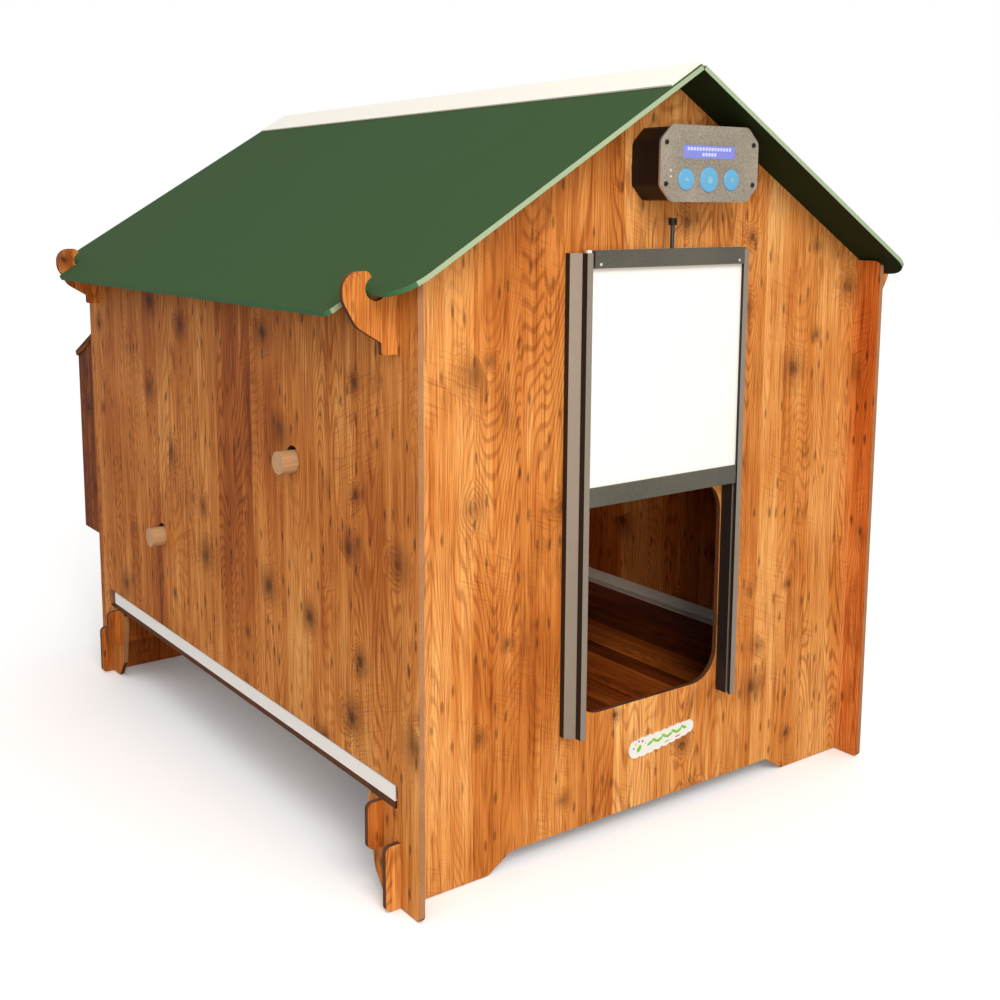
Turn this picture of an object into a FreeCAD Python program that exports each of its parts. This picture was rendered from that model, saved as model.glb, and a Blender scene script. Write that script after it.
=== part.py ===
import FreeCAD, Part
import os
import re
import Sketcher

# Chicken coop of interlocking boards: two gables and two walls on feet, a tilting roof,
# a rising door with its control box, a pull-out tray, two perches and a nest box at the back.
# Frame: +Z up, the door looks along -Y, the origin is under the middle of the whole coop.

sizes = {
    # shell
    "coopWidth": (800, "over the outer faces of the walls"),
    "wallLength": (1050, "front to back edge of a wall"),
    "ridgeHeight": (996, "top of the roof boards at the ridge"),
    "roofAngle": (31, "slope of the roof in degrees"),
    "board": (7, "thickness of every structural board"),
    "seatGap": (0.3, "clearance where one board rests on another"),
    "slotGap": (0.3, "clearance of a slot round the board in it"),
    "gableInset": (42, "wall edge to outer face of a gable"),
    # gable feet, ears and eave hooks
    "earReach": (20.5, "ear beyond the wall"),
    "earHeight": (82, "ear above the ground"),
    "footInner": (271, "inner end of a gable foot from the middle"),
    "archInner": (236, "end of the low arch from the middle"),
    "archHeight": (22, "low arch between the gable feet"),
    "earRound": (8, "rounding of ears and feet"),
    "throatReach": (27, "centre of the hook's throat beyond the wall"),
    "throatRound": (13.5, "radius of the throat"),
    "mouthAngle": (51, "upper side of the hook's mouth above level"),
    "tipReach": (8.5, "throat centre to the point of the hook"),
    "noseReach": (4.6, "throat centre to the hook's nose"),
    "hookTop": (19.5, "hook above the throat's centre"),
    "hookOut": (42, "hook beyond the throat's centre"),
    "hookBelly": (12, "belly of the hook under the throat's centre"),
    "hookKneeOut": (25, "lower bend of the hook, outwards"),
    "hookKneeDown": (41, "lower bend of the hook, downwards"),
    "lugTop": (60, "hook lug, top, under the throat's centre"),
    "lugBottom": (74, "hook lug, bottom, under the throat's centre"),
    "hookRound": (20, "rounding of the hook's back"),
    "bellyRound": (24, "rounding of the hook's belly"),
    "noseRound": (9, "rounding of the hook's nose"),
    "lugRound": (4, "rounding of the lug"),
    # walls
    "wallTopRound": (10, "top corners of a wall"),
    "wallFootRound": (8, "bottom corners of a wall"),
    "legGround": (79, "wall edge to the inner end of its foot, on the ground"),
    "legKneeIn": (100, "wall edge to the bend of its foot"),
    "legKneeHeight": (26, "height of that bend"),
    "legTopIn": (114, "wall edge to the foot's inner edge at its top"),
    "legCurveHeight": (90, "height where the foot's inner edge turns upright"),
    "legRound": (20, "rounding of that bend"),
    "legTopRound": (8, "rounding of the foot's top"),
    "slotEnd": (48, "wall edge to the end of the tray slot"),
    "slotRound": (5, "corners of the tray slot"),
    # floor beams and tray
    "beamTop": (121, "top of the beams and of the wall feet"),
    "beamHeight": (59, "height of a beam"),
    "beamInset": (81, "wall edge to the outer face of a beam"),
    "beamEar": (21, "beam beyond the wall"),
    "trayFront": (55, "front wall edge to the tray"),
    "trayRear": (67, "rear wall edge to the tray"),
    "traySide": (1, "tray behind the outer faces of the walls, each side"),
    "trayBoard": (8, "tray floor thickness"),
    "trayPlay": (1.7, "rim to the top of the tray slot"),
    "rimHeight": (20, "rim above the tray floor"),
    "rimFoot": (18, "rim flange on the tray floor"),
    "rimWall": (2, "rim thickness"),
    # perches
    "perchRound": (15, "radius of a perch"),
    "perchPlay": (3, "radius of its hole beyond its own"),
    "perchEnd": (22, "perch beyond the wall"),
    "perchFront": (229, "front perch ahead of the middle"),
    "perchFrontHeight": (502, "centre of its hole"),
    "perchRear": (223, "rear perch behind the middle"),
    "perchRearHeight": (306, "centre of its hole"),
    # roof
    "roofSheet": (6, "thickness of a roof board"),
    "roofOver": (25, "roof board beyond the walls, front and back"),
    "eaveTail": (55, "board beyond the throat's centre, between the hooks"),
    "ridgeGap": (0.4, "clearance between the two boards at the ridge"),
    "throatTail": (10, "board beyond the throat's centre, in the hooks"),
    "hookClear": (19, "back of a gable to the wide eave"),
    "notchRound": (43, "large curve of the roof's corner cut"),
    "shoulderRound": (12, "small curves of that cut"),
    "capFlange": (56, "ridge cap along the slope"),
    "capSheet": (2, "ridge cap thickness"),
    "capShort": (5, "ridge cap behind the ends of the roof"),
    # doorway, rails and door
    "doorAside": (6, "door left of the middle"),
    "wayHalf": (130, "half the width of the doorway"),
    "wayBottom": (172, "doorway sill"),
    "wayTop": (457, "doorway head"),
    "wayRound": (45, "corners of the doorway"),
    "railHalf": (131.5, "door's middle to the inner side of a rail"),
    "railBase": (21, "width of a rail on the gable"),
    "railFace": (9, "width of a rail's front"),
    "railFoot": (8.5, "upright part of its outer side"),
    "railKnee": (17.5, "end of its slanted part"),
    "railDepth": (27, "rail's front from the gable"),
    "railBottom": (155, "lower end of the rails"),
    "railTop": (769.5, "upper end of the rails"),
    "grooveBack": (19, "door groove, back, from the gable"),
    "groovePlay": (1, "door panel to the sides of its groove, in all"),
    "grooveDeep": (6, "depth of the groove"),
    "doorSheet": (3, "door panel thickness"),
    "doorPlay": (0.8, "door panel to the bottom of each groove"),
    "doorBottom": (455.5, "lower edge of the raised door"),
    "doorHeight": (317.5, "height of the door"),
    "topBand": (22, "height of the top band"),
    "topBandDeep": (6.5, "depth of the top band"),
    "topBandSheet": (1.5, "its wall"),
    "bottomBand": (24.5, "height of the bottom band"),
    "bottomBandDeep": (3.2, "its thickness"),
    "bandSide": (1.5, "band to rail"),
    "rivetRound": (2, "radius of a rivet head"),
    "rivetIn": (9.5, "rivet from the end of its band"),
    "rivetUp": (4.5, "rivets above the top band's lower edge"),
    "stemRound": (2.7, "radius of the lifting stem"),
    "stemLength": (29, "stem above the door"),
    "knobRound": (5.3, "radius of its knob"),
    "knobHeight": (9, "height of the knob"),
    "screwHead": (4, "radius of a screw head"),
    "screwHeadHigh": (2, "height of a screw head"),
    "screwShank": (2, "radius of a screw"),
    "screwFit": (0.1, "clearance round a screw"),
    # control box
    "boxMiddle": (30.5, "middle of the box right of the coop's middle"),
    "boxDown": (118.7, "ridge to the centre of the box"),
    "plateWidth": (172, "faceplate"),
    "plateHigh": (93.5, "faceplate"),
    "plateCorner": (19, "cut corners"),
    "plateSheet": (3, "faceplate thickness"),
    "housingIn": (2, "housing behind the faceplate's edge"),
    "housingDeep": (49, "housing from the gable"),
    "housingWall": (3, "housing wall"),
    "cornerRound": (10, "rounding of the box's cut corners"),
    "plateScrewX": (76.5, "faceplate screws from the middle"),
    "plateScrewZ": (25, "faceplate screws from the middle"),
    "postRound": (4.5, "screw post in the housing"),
    "plateScrew": (1.5, "radius of a faceplate screw"),
    "boxScrewX": (61, "left mounting screws from the middle of the box"),
    "boxScrewRight": (30, "right mounting screw from the middle of the box"),
    "boxScrewUp": (12, "upper left mounting screw above the middle"),
    "boxScrewDown": (16, "lower left mounting screw under the middle"),
    "boxScrewHigh": (36.5, "right mounting screw above the middle"),
    "lensWidth": (91, "display window"),
    "lensHigh": (16, "display window"),
    "lensAside": (-2.3, "window right of the middle"),
    "lensUp": (14.7, "window above the middle"),
    "buttonPitch": (39.8, "distance between buttons"),
    "buttonDown": (19.3, "buttons under the middle"),
    "buttonRound": (13.4, "radius of the outer buttons"),
    "midButtonRound": (15.6, "radius of the middle button"),
    "buttonGap": (0.3, "button to its hole"),
    "buttonProud": (1.8, "button in front of the faceplate"),
    "buttonLong": (10.5, "length of a button"),
    "lampAside": (68.5, "indicator lamps left of the middle"),
    "lampDown": (8.5, "upper lamp under the middle"),
    "lampPitch": (7.5, "distance between the lamps"),
    "lampRound": (1.5, "radius of a lamp"),
    "boardFront": (38, "circuit board from the gable"),
    "boardSheet": (1.6, "circuit board thickness"),
    "boardHalf": (70, "half the width of the circuit board"),
    "boardHigh": (64, "height of the circuit board"),
    "standoffLeft": (50, "standoffs left of the middle"),
    "standoffRight": (9, "standoffs right of the middle"),
    "standoffZ": (27, "standoffs above and under the middle"),
    "spoolHub": (9, "spool hub radius, cord centre line"),
    "spoolFlange": (12, "spool flange radius"),
    "spoolWide": (14, "spool width"),
    "spoolOut": (16.5, "spool axis from the gable"),
    "motorLong": (22, "motor can"),
    "motorRound": (11, "motor can radius"),
    "gearLong": (20, "gearbox"),
    "gearHigh": (26, "gearbox"),
    "cellRound": (7.2, "battery cell radius"),
    "cellLong": (50, "battery cell length"),
    "cellWall": (2, "battery holder wall"),
    "eyeletOut": (4, "cord eyelet outer radius"),
    "eyeletBore": (2, "cord eyelet bore radius"),
    # plaque
    "plaqueAside": (22, "plaque right of the middle"),
    "plaqueHeight": (107, "centre of the plaque"),
    "plaqueWidth": (122, "plaque"),
    "plaqueHigh": (32, "plaque"),
    "plaqueSheet": (2, "plaque thickness"),
    # nest box and its lid
    "nestIn": (25, "outer face of a wall to that of a nest side"),
    "nestDeep": (189, "rear gable to the outer face of the nest's back"),
    "nestBottom": (224, "underside of the nest"),
    "nestAngle": (24, "slope of the lid in degrees"),
    "hingeUnder": (102.3, "top of the walls to the hinge axis of the lid"),
    "hingeOut": (3.7, "hinge axis from the rear gable"),
    "hingeDown": (3.5, "lid's top under the hinge axis"),
    "lidStart": (6, "hinge axis to the lid's upper edge"),
    "lidLong": (209, "lid along its slope"),
    "lidSide": (5, "lid beyond a nest side"),
    "lidRound": (12, "outer corners of the lid"),
    "nestWayIn": (45, "outer face of a nest side to the way into the nest"),
    "nestWayBottom": (262, "sill of that way"),
    "nestWayTop": (560, "head of that way"),
    "nestWayRound": (40, "corners of that way"),
    "tabLow": (300, "lower tab of a nest side"),
    "tabHigh": (460, "upper tab of a nest side"),
    "tabTall": (60, "height of a tab"),
    "hingeAside": (250, "hinges from the middle"),
    "knuckle": (3.2, "hinge knuckle radius"),
    "hingePin": (1.5, "hinge pin radius"),
    "pinFit": (0.05, "clearance round the pin"),
    "knuckleHalf": (12, "half the fixed knuckle"),
    "knuckleSide": (14, "each knuckle of the lid"),
    "leafLong": (32, "leaf from the axis"),
    "leafSheet": (1.8, "leaf thickness"),
}

doc = FreeCAD.newDocument("chicken_coop")
sheet = doc.addObject("Spreadsheet::Sheet", "Sizes")
for row, (name, (number, note)) in enumerate(sizes.items(), start=1):
    sheet.set(f"A{row}", name)
    sheet.set(f"B{row}", str(number))
    sheet.set(f"C{row}", note)
    sheet.setAlias(f"B{row}", name)
doc.recompute()

# recurring places, written with the names of the sheet
halfWidth = "(coopWidth / 2)"
innerWall = "(coopWidth / 2 - board)"
halfLength = "(wallLength / 2)"
gableFace = "(wallLength / 2 - gableInset)"
gableBack = "(wallLength / 2 - gableInset - board)"
halfRoof = "(wallLength / 2 + roofOver)"
throatX = "(coopWidth / 2 + throatReach)"
throatZ = f"(ridgeHeight - tan(roofAngle) * {throatX} - roofSheet / 2 / cos(roofAngle))"
throatSlope = f"(({throatX} + roofSheet / 2 * sin(roofAngle)) / cos(roofAngle))"
underRoof = "((roofSheet + seatGap) / cos(roofAngle))"
wallTop = f"(ridgeHeight - tan(roofAngle) * {halfWidth} - {underRoof})"
lidEnd = f"({gableFace} + hingeOut + (lidStart + lidLong) * cos(nestAngle) - hingeDown * sin(nestAngle))"
middle = f"(-({lidEnd} - {halfRoof}) / 2)"
hingeY = f"({gableFace} + hingeOut)"
frontFace = f"(-{gableFace})"
doorX = "(-doorAside)"
boxHeight = "(ridgeHeight - boxDown)"
nestHalf = f"({halfWidth} - nestIn)"
nestWayHalf = f"({nestHalf} - nestWayIn)"
hingeHeight = f"({wallTop} - hingeUnder)"
perchHole = "(perchRound + perchPlay)"
grooveFront = "(grooveBack + doorSheet + groovePlay)"
doorEdge = "(grooveDeep - doorPlay)"
trayLength = "(wallLength - trayFront - trayRear)"
rimBottom = "(beamTop + seatGap + trayBoard)"
slotTop = f"({rimBottom} + rimHeight + trayPlay)"


def bound(text):
    named = lambda word: "Sizes." + word.group(0) if word.group(0) in sizes else word.group(0)
    return re.sub(r"[A-Za-z]\w*", named, text)


def bind(item, path, text):
    item.setExpression(path, bound(text))


def place(item, x, y, z):
    bind(item, "Placement.Base.x", x)
    bind(item, "Placement.Base.y", f"{y} + {middle}")
    bind(item, "Placement.Base.z", z)
    return item


def turn(item, axis, text):
    item.Placement = FreeCAD.Placement(FreeCAD.Vector(), FreeCAD.Rotation(axis, 10))
    bind(item, "Placement.Rotation.Angle", text)


# sketches -----------------------------------------------------------------------------

def newBody(label):
    body = doc.addObject("PartDesign::Body", label)
    body.Label = label
    return body


def originPlane(body, role):
    return [plane for plane in body.Origin.OriginFeatures if plane.Role == role][0]


def newSketch(body, role):
    sketch = body.newObject("Sketcher::SketchObject", body.Name + "_sketch")
    sketch.AttachmentSupport = [(originPlane(body, role), "")]
    sketch.MapMode = "FlatFace"
    return sketch


def polygon(body, role, corners):
    # closed outline whose corners are each measured from the sketch's origin
    sketch = newSketch(body, role)
    count = len(corners)
    ring = []
    for index in range(count):
        turned = FreeCAD.Rotation(FreeCAD.Vector(0, 0, 1), -360.0 * index / count)
        ring.append(turned.multVec(FreeCAD.Vector(100, 0, 0)))
    for index in range(count):
        sketch.addGeometry(Part.LineSegment(ring[index], ring[(index + 1) % count]), False)
    ties = []
    for index in range(count):
        ties.append(Sketcher.Constraint("Coincident", index, 2, (index + 1) % count, 1))
    for index in range(count):
        ties.append(Sketcher.Constraint("DistanceX", -1, 1, index, 1, ring[index].x))
        ties.append(Sketcher.Constraint("DistanceY", -1, 1, index, 1, ring[index].y))
    sketch.addConstraint(ties)
    for index, (across, up) in enumerate(corners):
        sketch.setExpression(f"Constraints[{count + 2 * index}]", bound(across))
        sketch.setExpression(f"Constraints[{count + 2 * index + 1}]", bound(up))
    return sketch


def circles(body, role, discs):
    sketch = newSketch(body, role)
    for index, (across, up, radius) in enumerate(discs):
        centre = FreeCAD.Vector(50 * index + 10, 10, 0)
        sketch.addGeometry(Part.Circle(centre, FreeCAD.Vector(0, 0, 1), 5), False)
        sketch.addConstraint(Sketcher.Constraint("DistanceX", -1, 1, index, 3, centre.x))
        sketch.addConstraint(Sketcher.Constraint("DistanceY", -1, 1, index, 3, centre.y))
        sketch.addConstraint(Sketcher.Constraint("Radius", index, 5))
        sketch.setExpression(f"Constraints[{3 * index}]", bound(across))
        sketch.setExpression(f"Constraints[{3 * index + 1}]", bound(up))
        sketch.setExpression(f"Constraints[{3 * index + 2}]", bound(radius))
    return sketch


def pad(body, sketch, depth):
    feature = body.newObject("PartDesign::Pad", body.Name + "_pad")
    feature.Profile = sketch
    bind(feature, "Length", depth)
    doc.recompute()
    return feature


def pocket(body, sketch):
    # cuts right through, both ways from the sketch's plane
    before = body.Shape.Volume
    feature = body.newObject("PartDesign::Pocket", body.Name + "_pocket")
    feature.Profile = sketch
    feature.Type = "ThroughAll"
    feature.Midplane = True
    doc.recompute()
    if body.Shape.Volume > before - 1:
        raise RuntimeError(body.Label + ": the pocket cut nothing")
    return feature


def roundOff(body, sketch, corners, radius):
    # fillets the edges of the board that stand on the given corners of its outline
    tip = body.Tip
    names = []
    for corner in corners:
        spot = sketch.Placement.multVec(sketch.getPoint(corner, 1))
        for number, edge in enumerate(tip.Shape.Edges, start=1):
            if len(edge.Vertexes) != 2 or edge.Curve.TypeId != "Part::GeomLine":
                continue
            near = min((vertex.Point - spot).Length for vertex in edge.Vertexes)
            normal = sketch.Placement.Rotation.multVec(FreeCAD.Vector(0, 0, 1))
            along = abs(edge.tangentAt(edge.FirstParameter).dot(normal))
            if near < 0.01 and along > 0.999:
                names.append(f"Edge{number}")
    if len(names) != len(corners):
        raise RuntimeError(f"{body.Label}: {len(names)} of {len(corners)} corners found")
    feature = body.newObject("PartDesign::Fillet", body.Name + "_fillet")
    feature.Base = (tip, names)
    bind(feature, "Radius", radius)
    doc.recompute()
    return feature


def mirrored(half):
    # the other half of an outline that is the same on both sides of its upright axis
    return half + [(f"-({across})", up) for across, up in reversed(half)]


def upright(box):
    # four corners of a rectangle: left, right, bottom, top
    left, right, bottom, top = box
    return [(left, bottom), (left, top), (right, top), (right, bottom)]


# primitives ---------------------------------------------------------------------------

def block(label, box, at):
    item = doc.addObject("Part::Box", label)
    item.Label = label
    for path, text in zip(("Length", "Width", "Height"), box):
        bind(item, path, text)
    return place(item, *at)


def rod(label, radius, length, at, axis=None):
    item = doc.addObject("Part::Cylinder", label)
    item.Label = label
    if axis == "x":
        item.Placement.Rotation = FreeCAD.Rotation(FreeCAD.Vector(0, 1, 0), 90)
    if axis == "y":
        item.Placement.Rotation = FreeCAD.Rotation(FreeCAD.Vector(1, 0, 0), -90)
    bind(item, "Radius", radius)
    bind(item, "Height", length)
    return place(item, *at)


def joined(label, pieces):
    item = doc.addObject("Part::MultiFuse", label)
    item.Label = label
    item.Shapes = pieces
    return item


def without(label, base, tools):
    item = doc.addObject("Part::Cut", label)
    item.Label = label
    item.Base = base
    item.Tool = tools[0] if len(tools) == 1 else joined(label + "_tools", tools)
    return item


def group(label, pieces):
    item = doc.addObject("Part::Compound", label)
    item.Label = label
    item.Links = pieces
    return item


nodes = []

# gables -------------------------------------------------------------------------------

gableHalf = [
    ("-archInner", "archHeight"),
    ("-footInner", "0"),
    (f"-({halfWidth} + earReach)", "0"),
    (f"-({halfWidth} + earReach)", "earHeight"),
    (f"-({innerWall} - slotGap)", "earHeight"),
    (f"-({innerWall} - slotGap)", f"{throatZ} - lugBottom"),
    (f"-({halfWidth} + earReach)", f"{throatZ} - lugBottom"),
    (f"-({halfWidth} + earReach)", f"{throatZ} - lugTop"),
    (f"-({throatX} + hookKneeOut)", f"{throatZ} - hookKneeDown"),
    (f"-({throatX} + hookOut)", f"{throatZ} - hookBelly"),
    (f"-({throatX} + hookOut)", f"{throatZ} + hookTop"),
    (f"-({throatX} + noseReach)", f"{throatZ} + hookTop"),
    (f"-({throatX} + tipReach * cos(mouthAngle))", f"{throatZ} + tipReach * sin(mouthAngle)"),
    (f"-{throatX}", throatZ),
    (f"-({throatX} - (roofSheet / 2 + seatGap) * sin(roofAngle))",
     f"{throatZ} - (roofSheet / 2 + seatGap) * cos(roofAngle)"),
]
gableOutline = gableHalf + [("0", f"ridgeHeight - {underRoof}")] + mirrored(gableHalf)[15:]


def gable(label, at, way, wayRound, holes):
    body = newBody(label)
    outline = polygon(body, "XZ_Plane", gableOutline)
    pad(body, outline, "board")
    last = len(gableOutline) - 1
    both = lambda corners: corners + [last - corner for corner in corners]
    roundOff(body, outline, both([10]), "hookRound")
    roundOff(body, outline, both([8, 9]), "bellyRound")
    roundOff(body, outline, both([11]), "noseRound")
    roundOff(body, outline, both([6]), "lugRound")
    roundOff(body, outline, both([0, 1, 2, 3]), "earRound")
    throats = [(f"-{throatX}", throatZ, "throatRound"), (throatX, throatZ, "throatRound")]
    pocket(body, circles(body, "XZ_Plane", throats + holes))
    opening = polygon(body, "XZ_Plane", upright(way))
    pocket(body, opening)
    roundOff(body, opening, [0, 1, 2, 3], wayRound)
    place(body, "0", at, "0")
    return body


railHeights = ["railBottom + 60", "(railBottom + railTop) / 2", "railTop - 60"]
railScrews = [
    (f"{doorX} {sign} (railHalf + railBase / 2)", height)
    for sign in "-+" for height in railHeights
]
boxScrews = [
    ("boxMiddle - boxScrewX", f"{boxHeight} + boxScrewUp"),
    ("boxMiddle - boxScrewX", f"{boxHeight} - boxScrewDown"),
    ("boxMiddle + boxScrewRight", f"{boxHeight} + boxScrewHigh"),
]
screwHoles = [(x, z, "screwShank + screwFit") for x, z in railScrews + boxScrews]
frontGable = gable(
    "front_gable", f"(-{gableBack})",
    (f"{doorX} - wayHalf", f"{doorX} + wayHalf", "wayBottom", "wayTop"),
    "wayRound", screwHoles)

# the nest sides' tabs go through slots in the rear gable
rearBoard = gable(
    "rear_board", gableFace,
    (f"-{nestWayHalf}", nestWayHalf, "nestWayBottom", "nestWayTop"), "nestWayRound", [])
tabSlots = []
for sign in "-+":
    for level in ("tabLow", "tabHigh"):
        left = f"-{nestHalf} - slotGap" if sign == "-" else f"{nestHalf} - board - slotGap"
        tabSlots.append(block(
            f"tab_slot_{len(tabSlots)}",
            ("board + 2 * slotGap", "board + 4", "tabTall + 2 * slotGap"),
            (left, f"{gableBack} - 2", f"{level} - slotGap")))
rearGable = without("rear_gable", rearBoard, tabSlots)
nodes += [frontGable, rearGable]

# walls --------------------------------------------------------------------------------

lugFloor = f"({throatZ} - lugBottom - slotGap)"
wallHalf = [
    (f"-({gableBack} - slotGap)", wallTop),
    (f"-({gableBack} - slotGap)", lugFloor),
    (f"-({gableFace} + slotGap)", lugFloor),
    (f"-({gableFace} + slotGap)", wallTop),
    (f"-{halfLength}", wallTop),
    (f"-{halfLength}", "0"),
    (f"-({gableFace} + slotGap)", "0"),
    (f"-({gableFace} + slotGap)", "earHeight + slotGap"),
    (f"-({gableBack} - slotGap)", "earHeight + slotGap"),
    (f"-({gableBack} - slotGap)", "0"),
    (f"-({halfLength} - legGround)", "0"),
    (f"-({halfLength} - legKneeIn)", "legKneeHeight"),
    (f"-({halfLength} - legTopIn)", "legCurveHeight"),
    (f"-({halfLength} - legTopIn)", "beamTop"),
    (f"-({halfLength} - beamInset - board - slotGap)", "beamTop"),
    (f"-({halfLength} - beamInset - board - slotGap)", "beamTop - beamHeight - slotGap"),
    (f"-({halfLength} - beamInset + slotGap)", "beamTop - beamHeight - slotGap"),
    (f"-({halfLength} - beamInset + slotGap)", "beamTop"),
    (f"-({halfLength} - slotEnd)", "beamTop"),
    (f"-({halfLength} - slotEnd)", slotTop),
]


def wall(label, x):
    body = newBody(label)
    outline = polygon(body, "YZ_Plane", mirrored(wallHalf))
    pad(body, outline, "board")
    last = 2 * len(wallHalf) - 1
    both = lambda corners: corners + [last - corner for corner in corners]
    roundOff(body, outline, both([4]), "wallTopRound")
    roundOff(body, outline, both([5, 10]), "wallFootRound")
    roundOff(body, outline, both([11]), "legRound")
    roundOff(body, outline, both([13]), "legTopRound")
    roundOff(body, outline, both([18, 19]), "slotRound")
    pocket(body, circles(body, "YZ_Plane", [
        ("-perchFront", "perchFrontHeight", perchHole),
        ("perchRear", "perchRearHeight", perchHole)]))
    return place(body, x, "0", "0")


nodes += [wall("left_wall", f"-{halfWidth}"), wall("right_wall", innerWall)]


def beam(label, y):
    body = newBody(label)
    reach = f"({halfWidth} + beamEar)"
    outline = polygon(body, "XZ_Plane", upright((
        f"-{reach}", reach, "beamTop - beamHeight", "beamTop")))
    pad(body, outline, "board")
    roundOff(body, outline, [0, 1, 2, 3], "earRound")
    return place(body, "0", y, "0")


nodes.append(beam("front_floor_beam", f"-({halfLength} - beamInset - board)"))
nodes.append(beam("rear_floor_beam", f"({halfLength} - beamInset)"))

# roof boards and ridge cap ------------------------------------------------------------

notchSlope = f"({throatSlope} + throatTail)"
eaveSlope = f"({throatSlope} + eaveTail)"
ridgeCut = "(roofSheet * tan(roofAngle) + ridgeGap)"
notchShoulder = "(roofOver + gableInset + board + hookClear)"


def roofBoard(label, side):
    body = newBody(label)
    half = [
        (f"{side} {ridgeCut}", f"-{halfRoof}"),
        (f"{side} {notchSlope}", f"-{halfRoof}"),
        (f"{side} {notchSlope}", f"-({halfRoof} - {notchShoulder})"),
        (f"{side} {eaveSlope}", f"-({halfRoof} - {notchShoulder})"),
    ]
    outline = polygon(body, "XY_Plane", half + [(x, f"-({y})") for x, y in reversed(half)])
    pad(body, outline, "roofSheet")
    roundOff(body, outline, [1, 6], "notchRound")
    roundOff(body, outline, [2, 3, 4, 5], "shoulderRound")
    turn(body, FreeCAD.Vector(0, 1, 0), f"{side} roofAngle")
    other = "" if side == "-" else "-"
    return place(body, f"{other} roofSheet * sin(roofAngle)", "0",
                 "ridgeHeight - roofSheet * cos(roofAngle)")


nodes += [roofBoard("roof_left", "-"), roofBoard("roof_right", "+")]


def capPoint(side, along, above):
    across = f"{side} ({along} * cos(roofAngle) + ({above}) * sin(roofAngle))"
    return (across, f"ridgeHeight - {along} * sin(roofAngle) + ({above}) * cos(roofAngle)")


ridgeCap = newBody("ridge_cap")
capOutline = polygon(ridgeCap, "XZ_Plane", [
    ("0", "ridgeHeight + seatGap / cos(roofAngle)"),
    capPoint("-", "capFlange", "seatGap"),
    capPoint("-", "capFlange", "seatGap + capSheet"),
    ("0", "ridgeHeight + (seatGap + capSheet) / cos(roofAngle)"),
    capPoint("+", "capFlange", "seatGap + capSheet"),
    capPoint("+", "capFlange", "seatGap"),
])
pad(ridgeCap, capOutline, f"2 * ({halfRoof} - capShort)")
place(ridgeCap, "0", f"({halfRoof} - capShort)", "0")
nodes.append(ridgeCap)

# tray ---------------------------------------------------------------------------------

trayHalf = f"({halfWidth} - traySide)"
trayStart = f"(-{halfLength} + trayFront)"
nodes.append(block(
    "tray_floor", (f"2 * {trayHalf}", trayLength, "trayBoard"),
    (f"-{trayHalf}", trayStart, "beamTop + seatGap")))
for side in ("left", "right"):
    body = newBody(f"tray_rim_{side}")
    sign = "-" if side == "left" else ""
    outline = polygon(body, "XZ_Plane", [
        (f"{sign}{trayHalf}", rimBottom),
        (f"{sign}{trayHalf}", f"{rimBottom} + rimHeight"),
        (f"{sign}({trayHalf} - rimWall)", f"{rimBottom} + rimHeight"),
        (f"{sign}({trayHalf} - rimWall)", f"{rimBottom} + rimWall"),
        (f"{sign}({trayHalf} - rimFoot)", f"{rimBottom} + rimWall"),
        (f"{sign}({trayHalf} - rimFoot)", rimBottom),
    ])
    pad(body, outline, trayLength)
    nodes.append(place(body, "0", f"({trayStart} + {trayLength})", "0"))

# perches lie on the bottom of their wider holes
for label, y, z in (
        ("perch_front", "(-perchFront)", "perchFrontHeight"),
        ("perch_rear", "perchRear", "perchRearHeight")):
    nodes.append(rod(
        label, "perchRound", "coopWidth + 2 * perchEnd",
        (f"-({halfWidth} + perchEnd)", y, f"{z} - {perchHole} + perchRound + seatGap"), "x"))

# door rails ---------------------------------------------------------------------------


def rail(label, side):
    body = newBody(label)
    section = [
        ("0", "0"), ("railBase", "0"), ("railBase", "railFoot"), ("railFace", "railKnee"),
        ("railFace", "railDepth"), ("0", "railDepth"), ("0", grooveFront),
        ("grooveDeep", grooveFront), ("grooveDeep", "grooveBack"), ("0", "grooveBack"),
    ]
    outline = polygon(body, "XY_Plane", [(f"{side} ({u})", f"-({v})") for u, v in section])
    pad(body, outline, "railTop - railBottom")
    place(body, f"{doorX} {side} railHalf", frontFace, "railBottom")
    bores = [
        rod(f"{label}_bore_{index}", "screwShank + screwFit", "7",
            (x, f"{frontFace} - 6.5", z), "y")
        for index, (x, z) in enumerate(railScrews) if f" {side} " in x
    ]
    return without(label.replace("profile", "rail"), body, bores)


nodes += [rail("profile_left", "-"), rail("profile_right", "+")]


def screw(label, x, z, head, start, end):
    # head centred at y = head, shank from start to end, all measured along Y
    return joined(label, [
        rod(label + "_head", "screwHead", "screwHeadHigh", (x, head, z), "y"),
        rod(label + "_shank", "screwShank", f"({end}) - ({start})", (x, start, z), "y"),
    ])


# the rail screws come from inside the coop, their heads on the gable's back
nodes.append(group("rail_screws", [
    screw(f"rail_screw_{index}", x, z, f"(-{gableBack})", f"{frontFace} - 6",
          f"(-{gableBack} + 1)")
    for index, (x, z) in enumerate(railScrews)
]))

# door ---------------------------------------------------------------------------------

sheetFront = f"((grooveBack + {grooveFront} + doorSheet) / 2)"
bandHalf = "(railHalf - bandSide)"
doorTop = "(doorBottom + doorHeight)"
topBandBottom = f"({doorTop} - topBand)"
bandY = f"({frontFace} - {sheetFront})"
rivetX = [f"{doorX} {sign} ({bandHalf} - rivetIn)" for sign in "-+"]


def rivetBores(label):
    return [rod(f"{label}_{index}", "rivetRound / 2 + screwFit", "40",
                (x, f"{bandY} - 20", rivetZ), "y") for index, x in enumerate(rivetX)]


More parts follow.
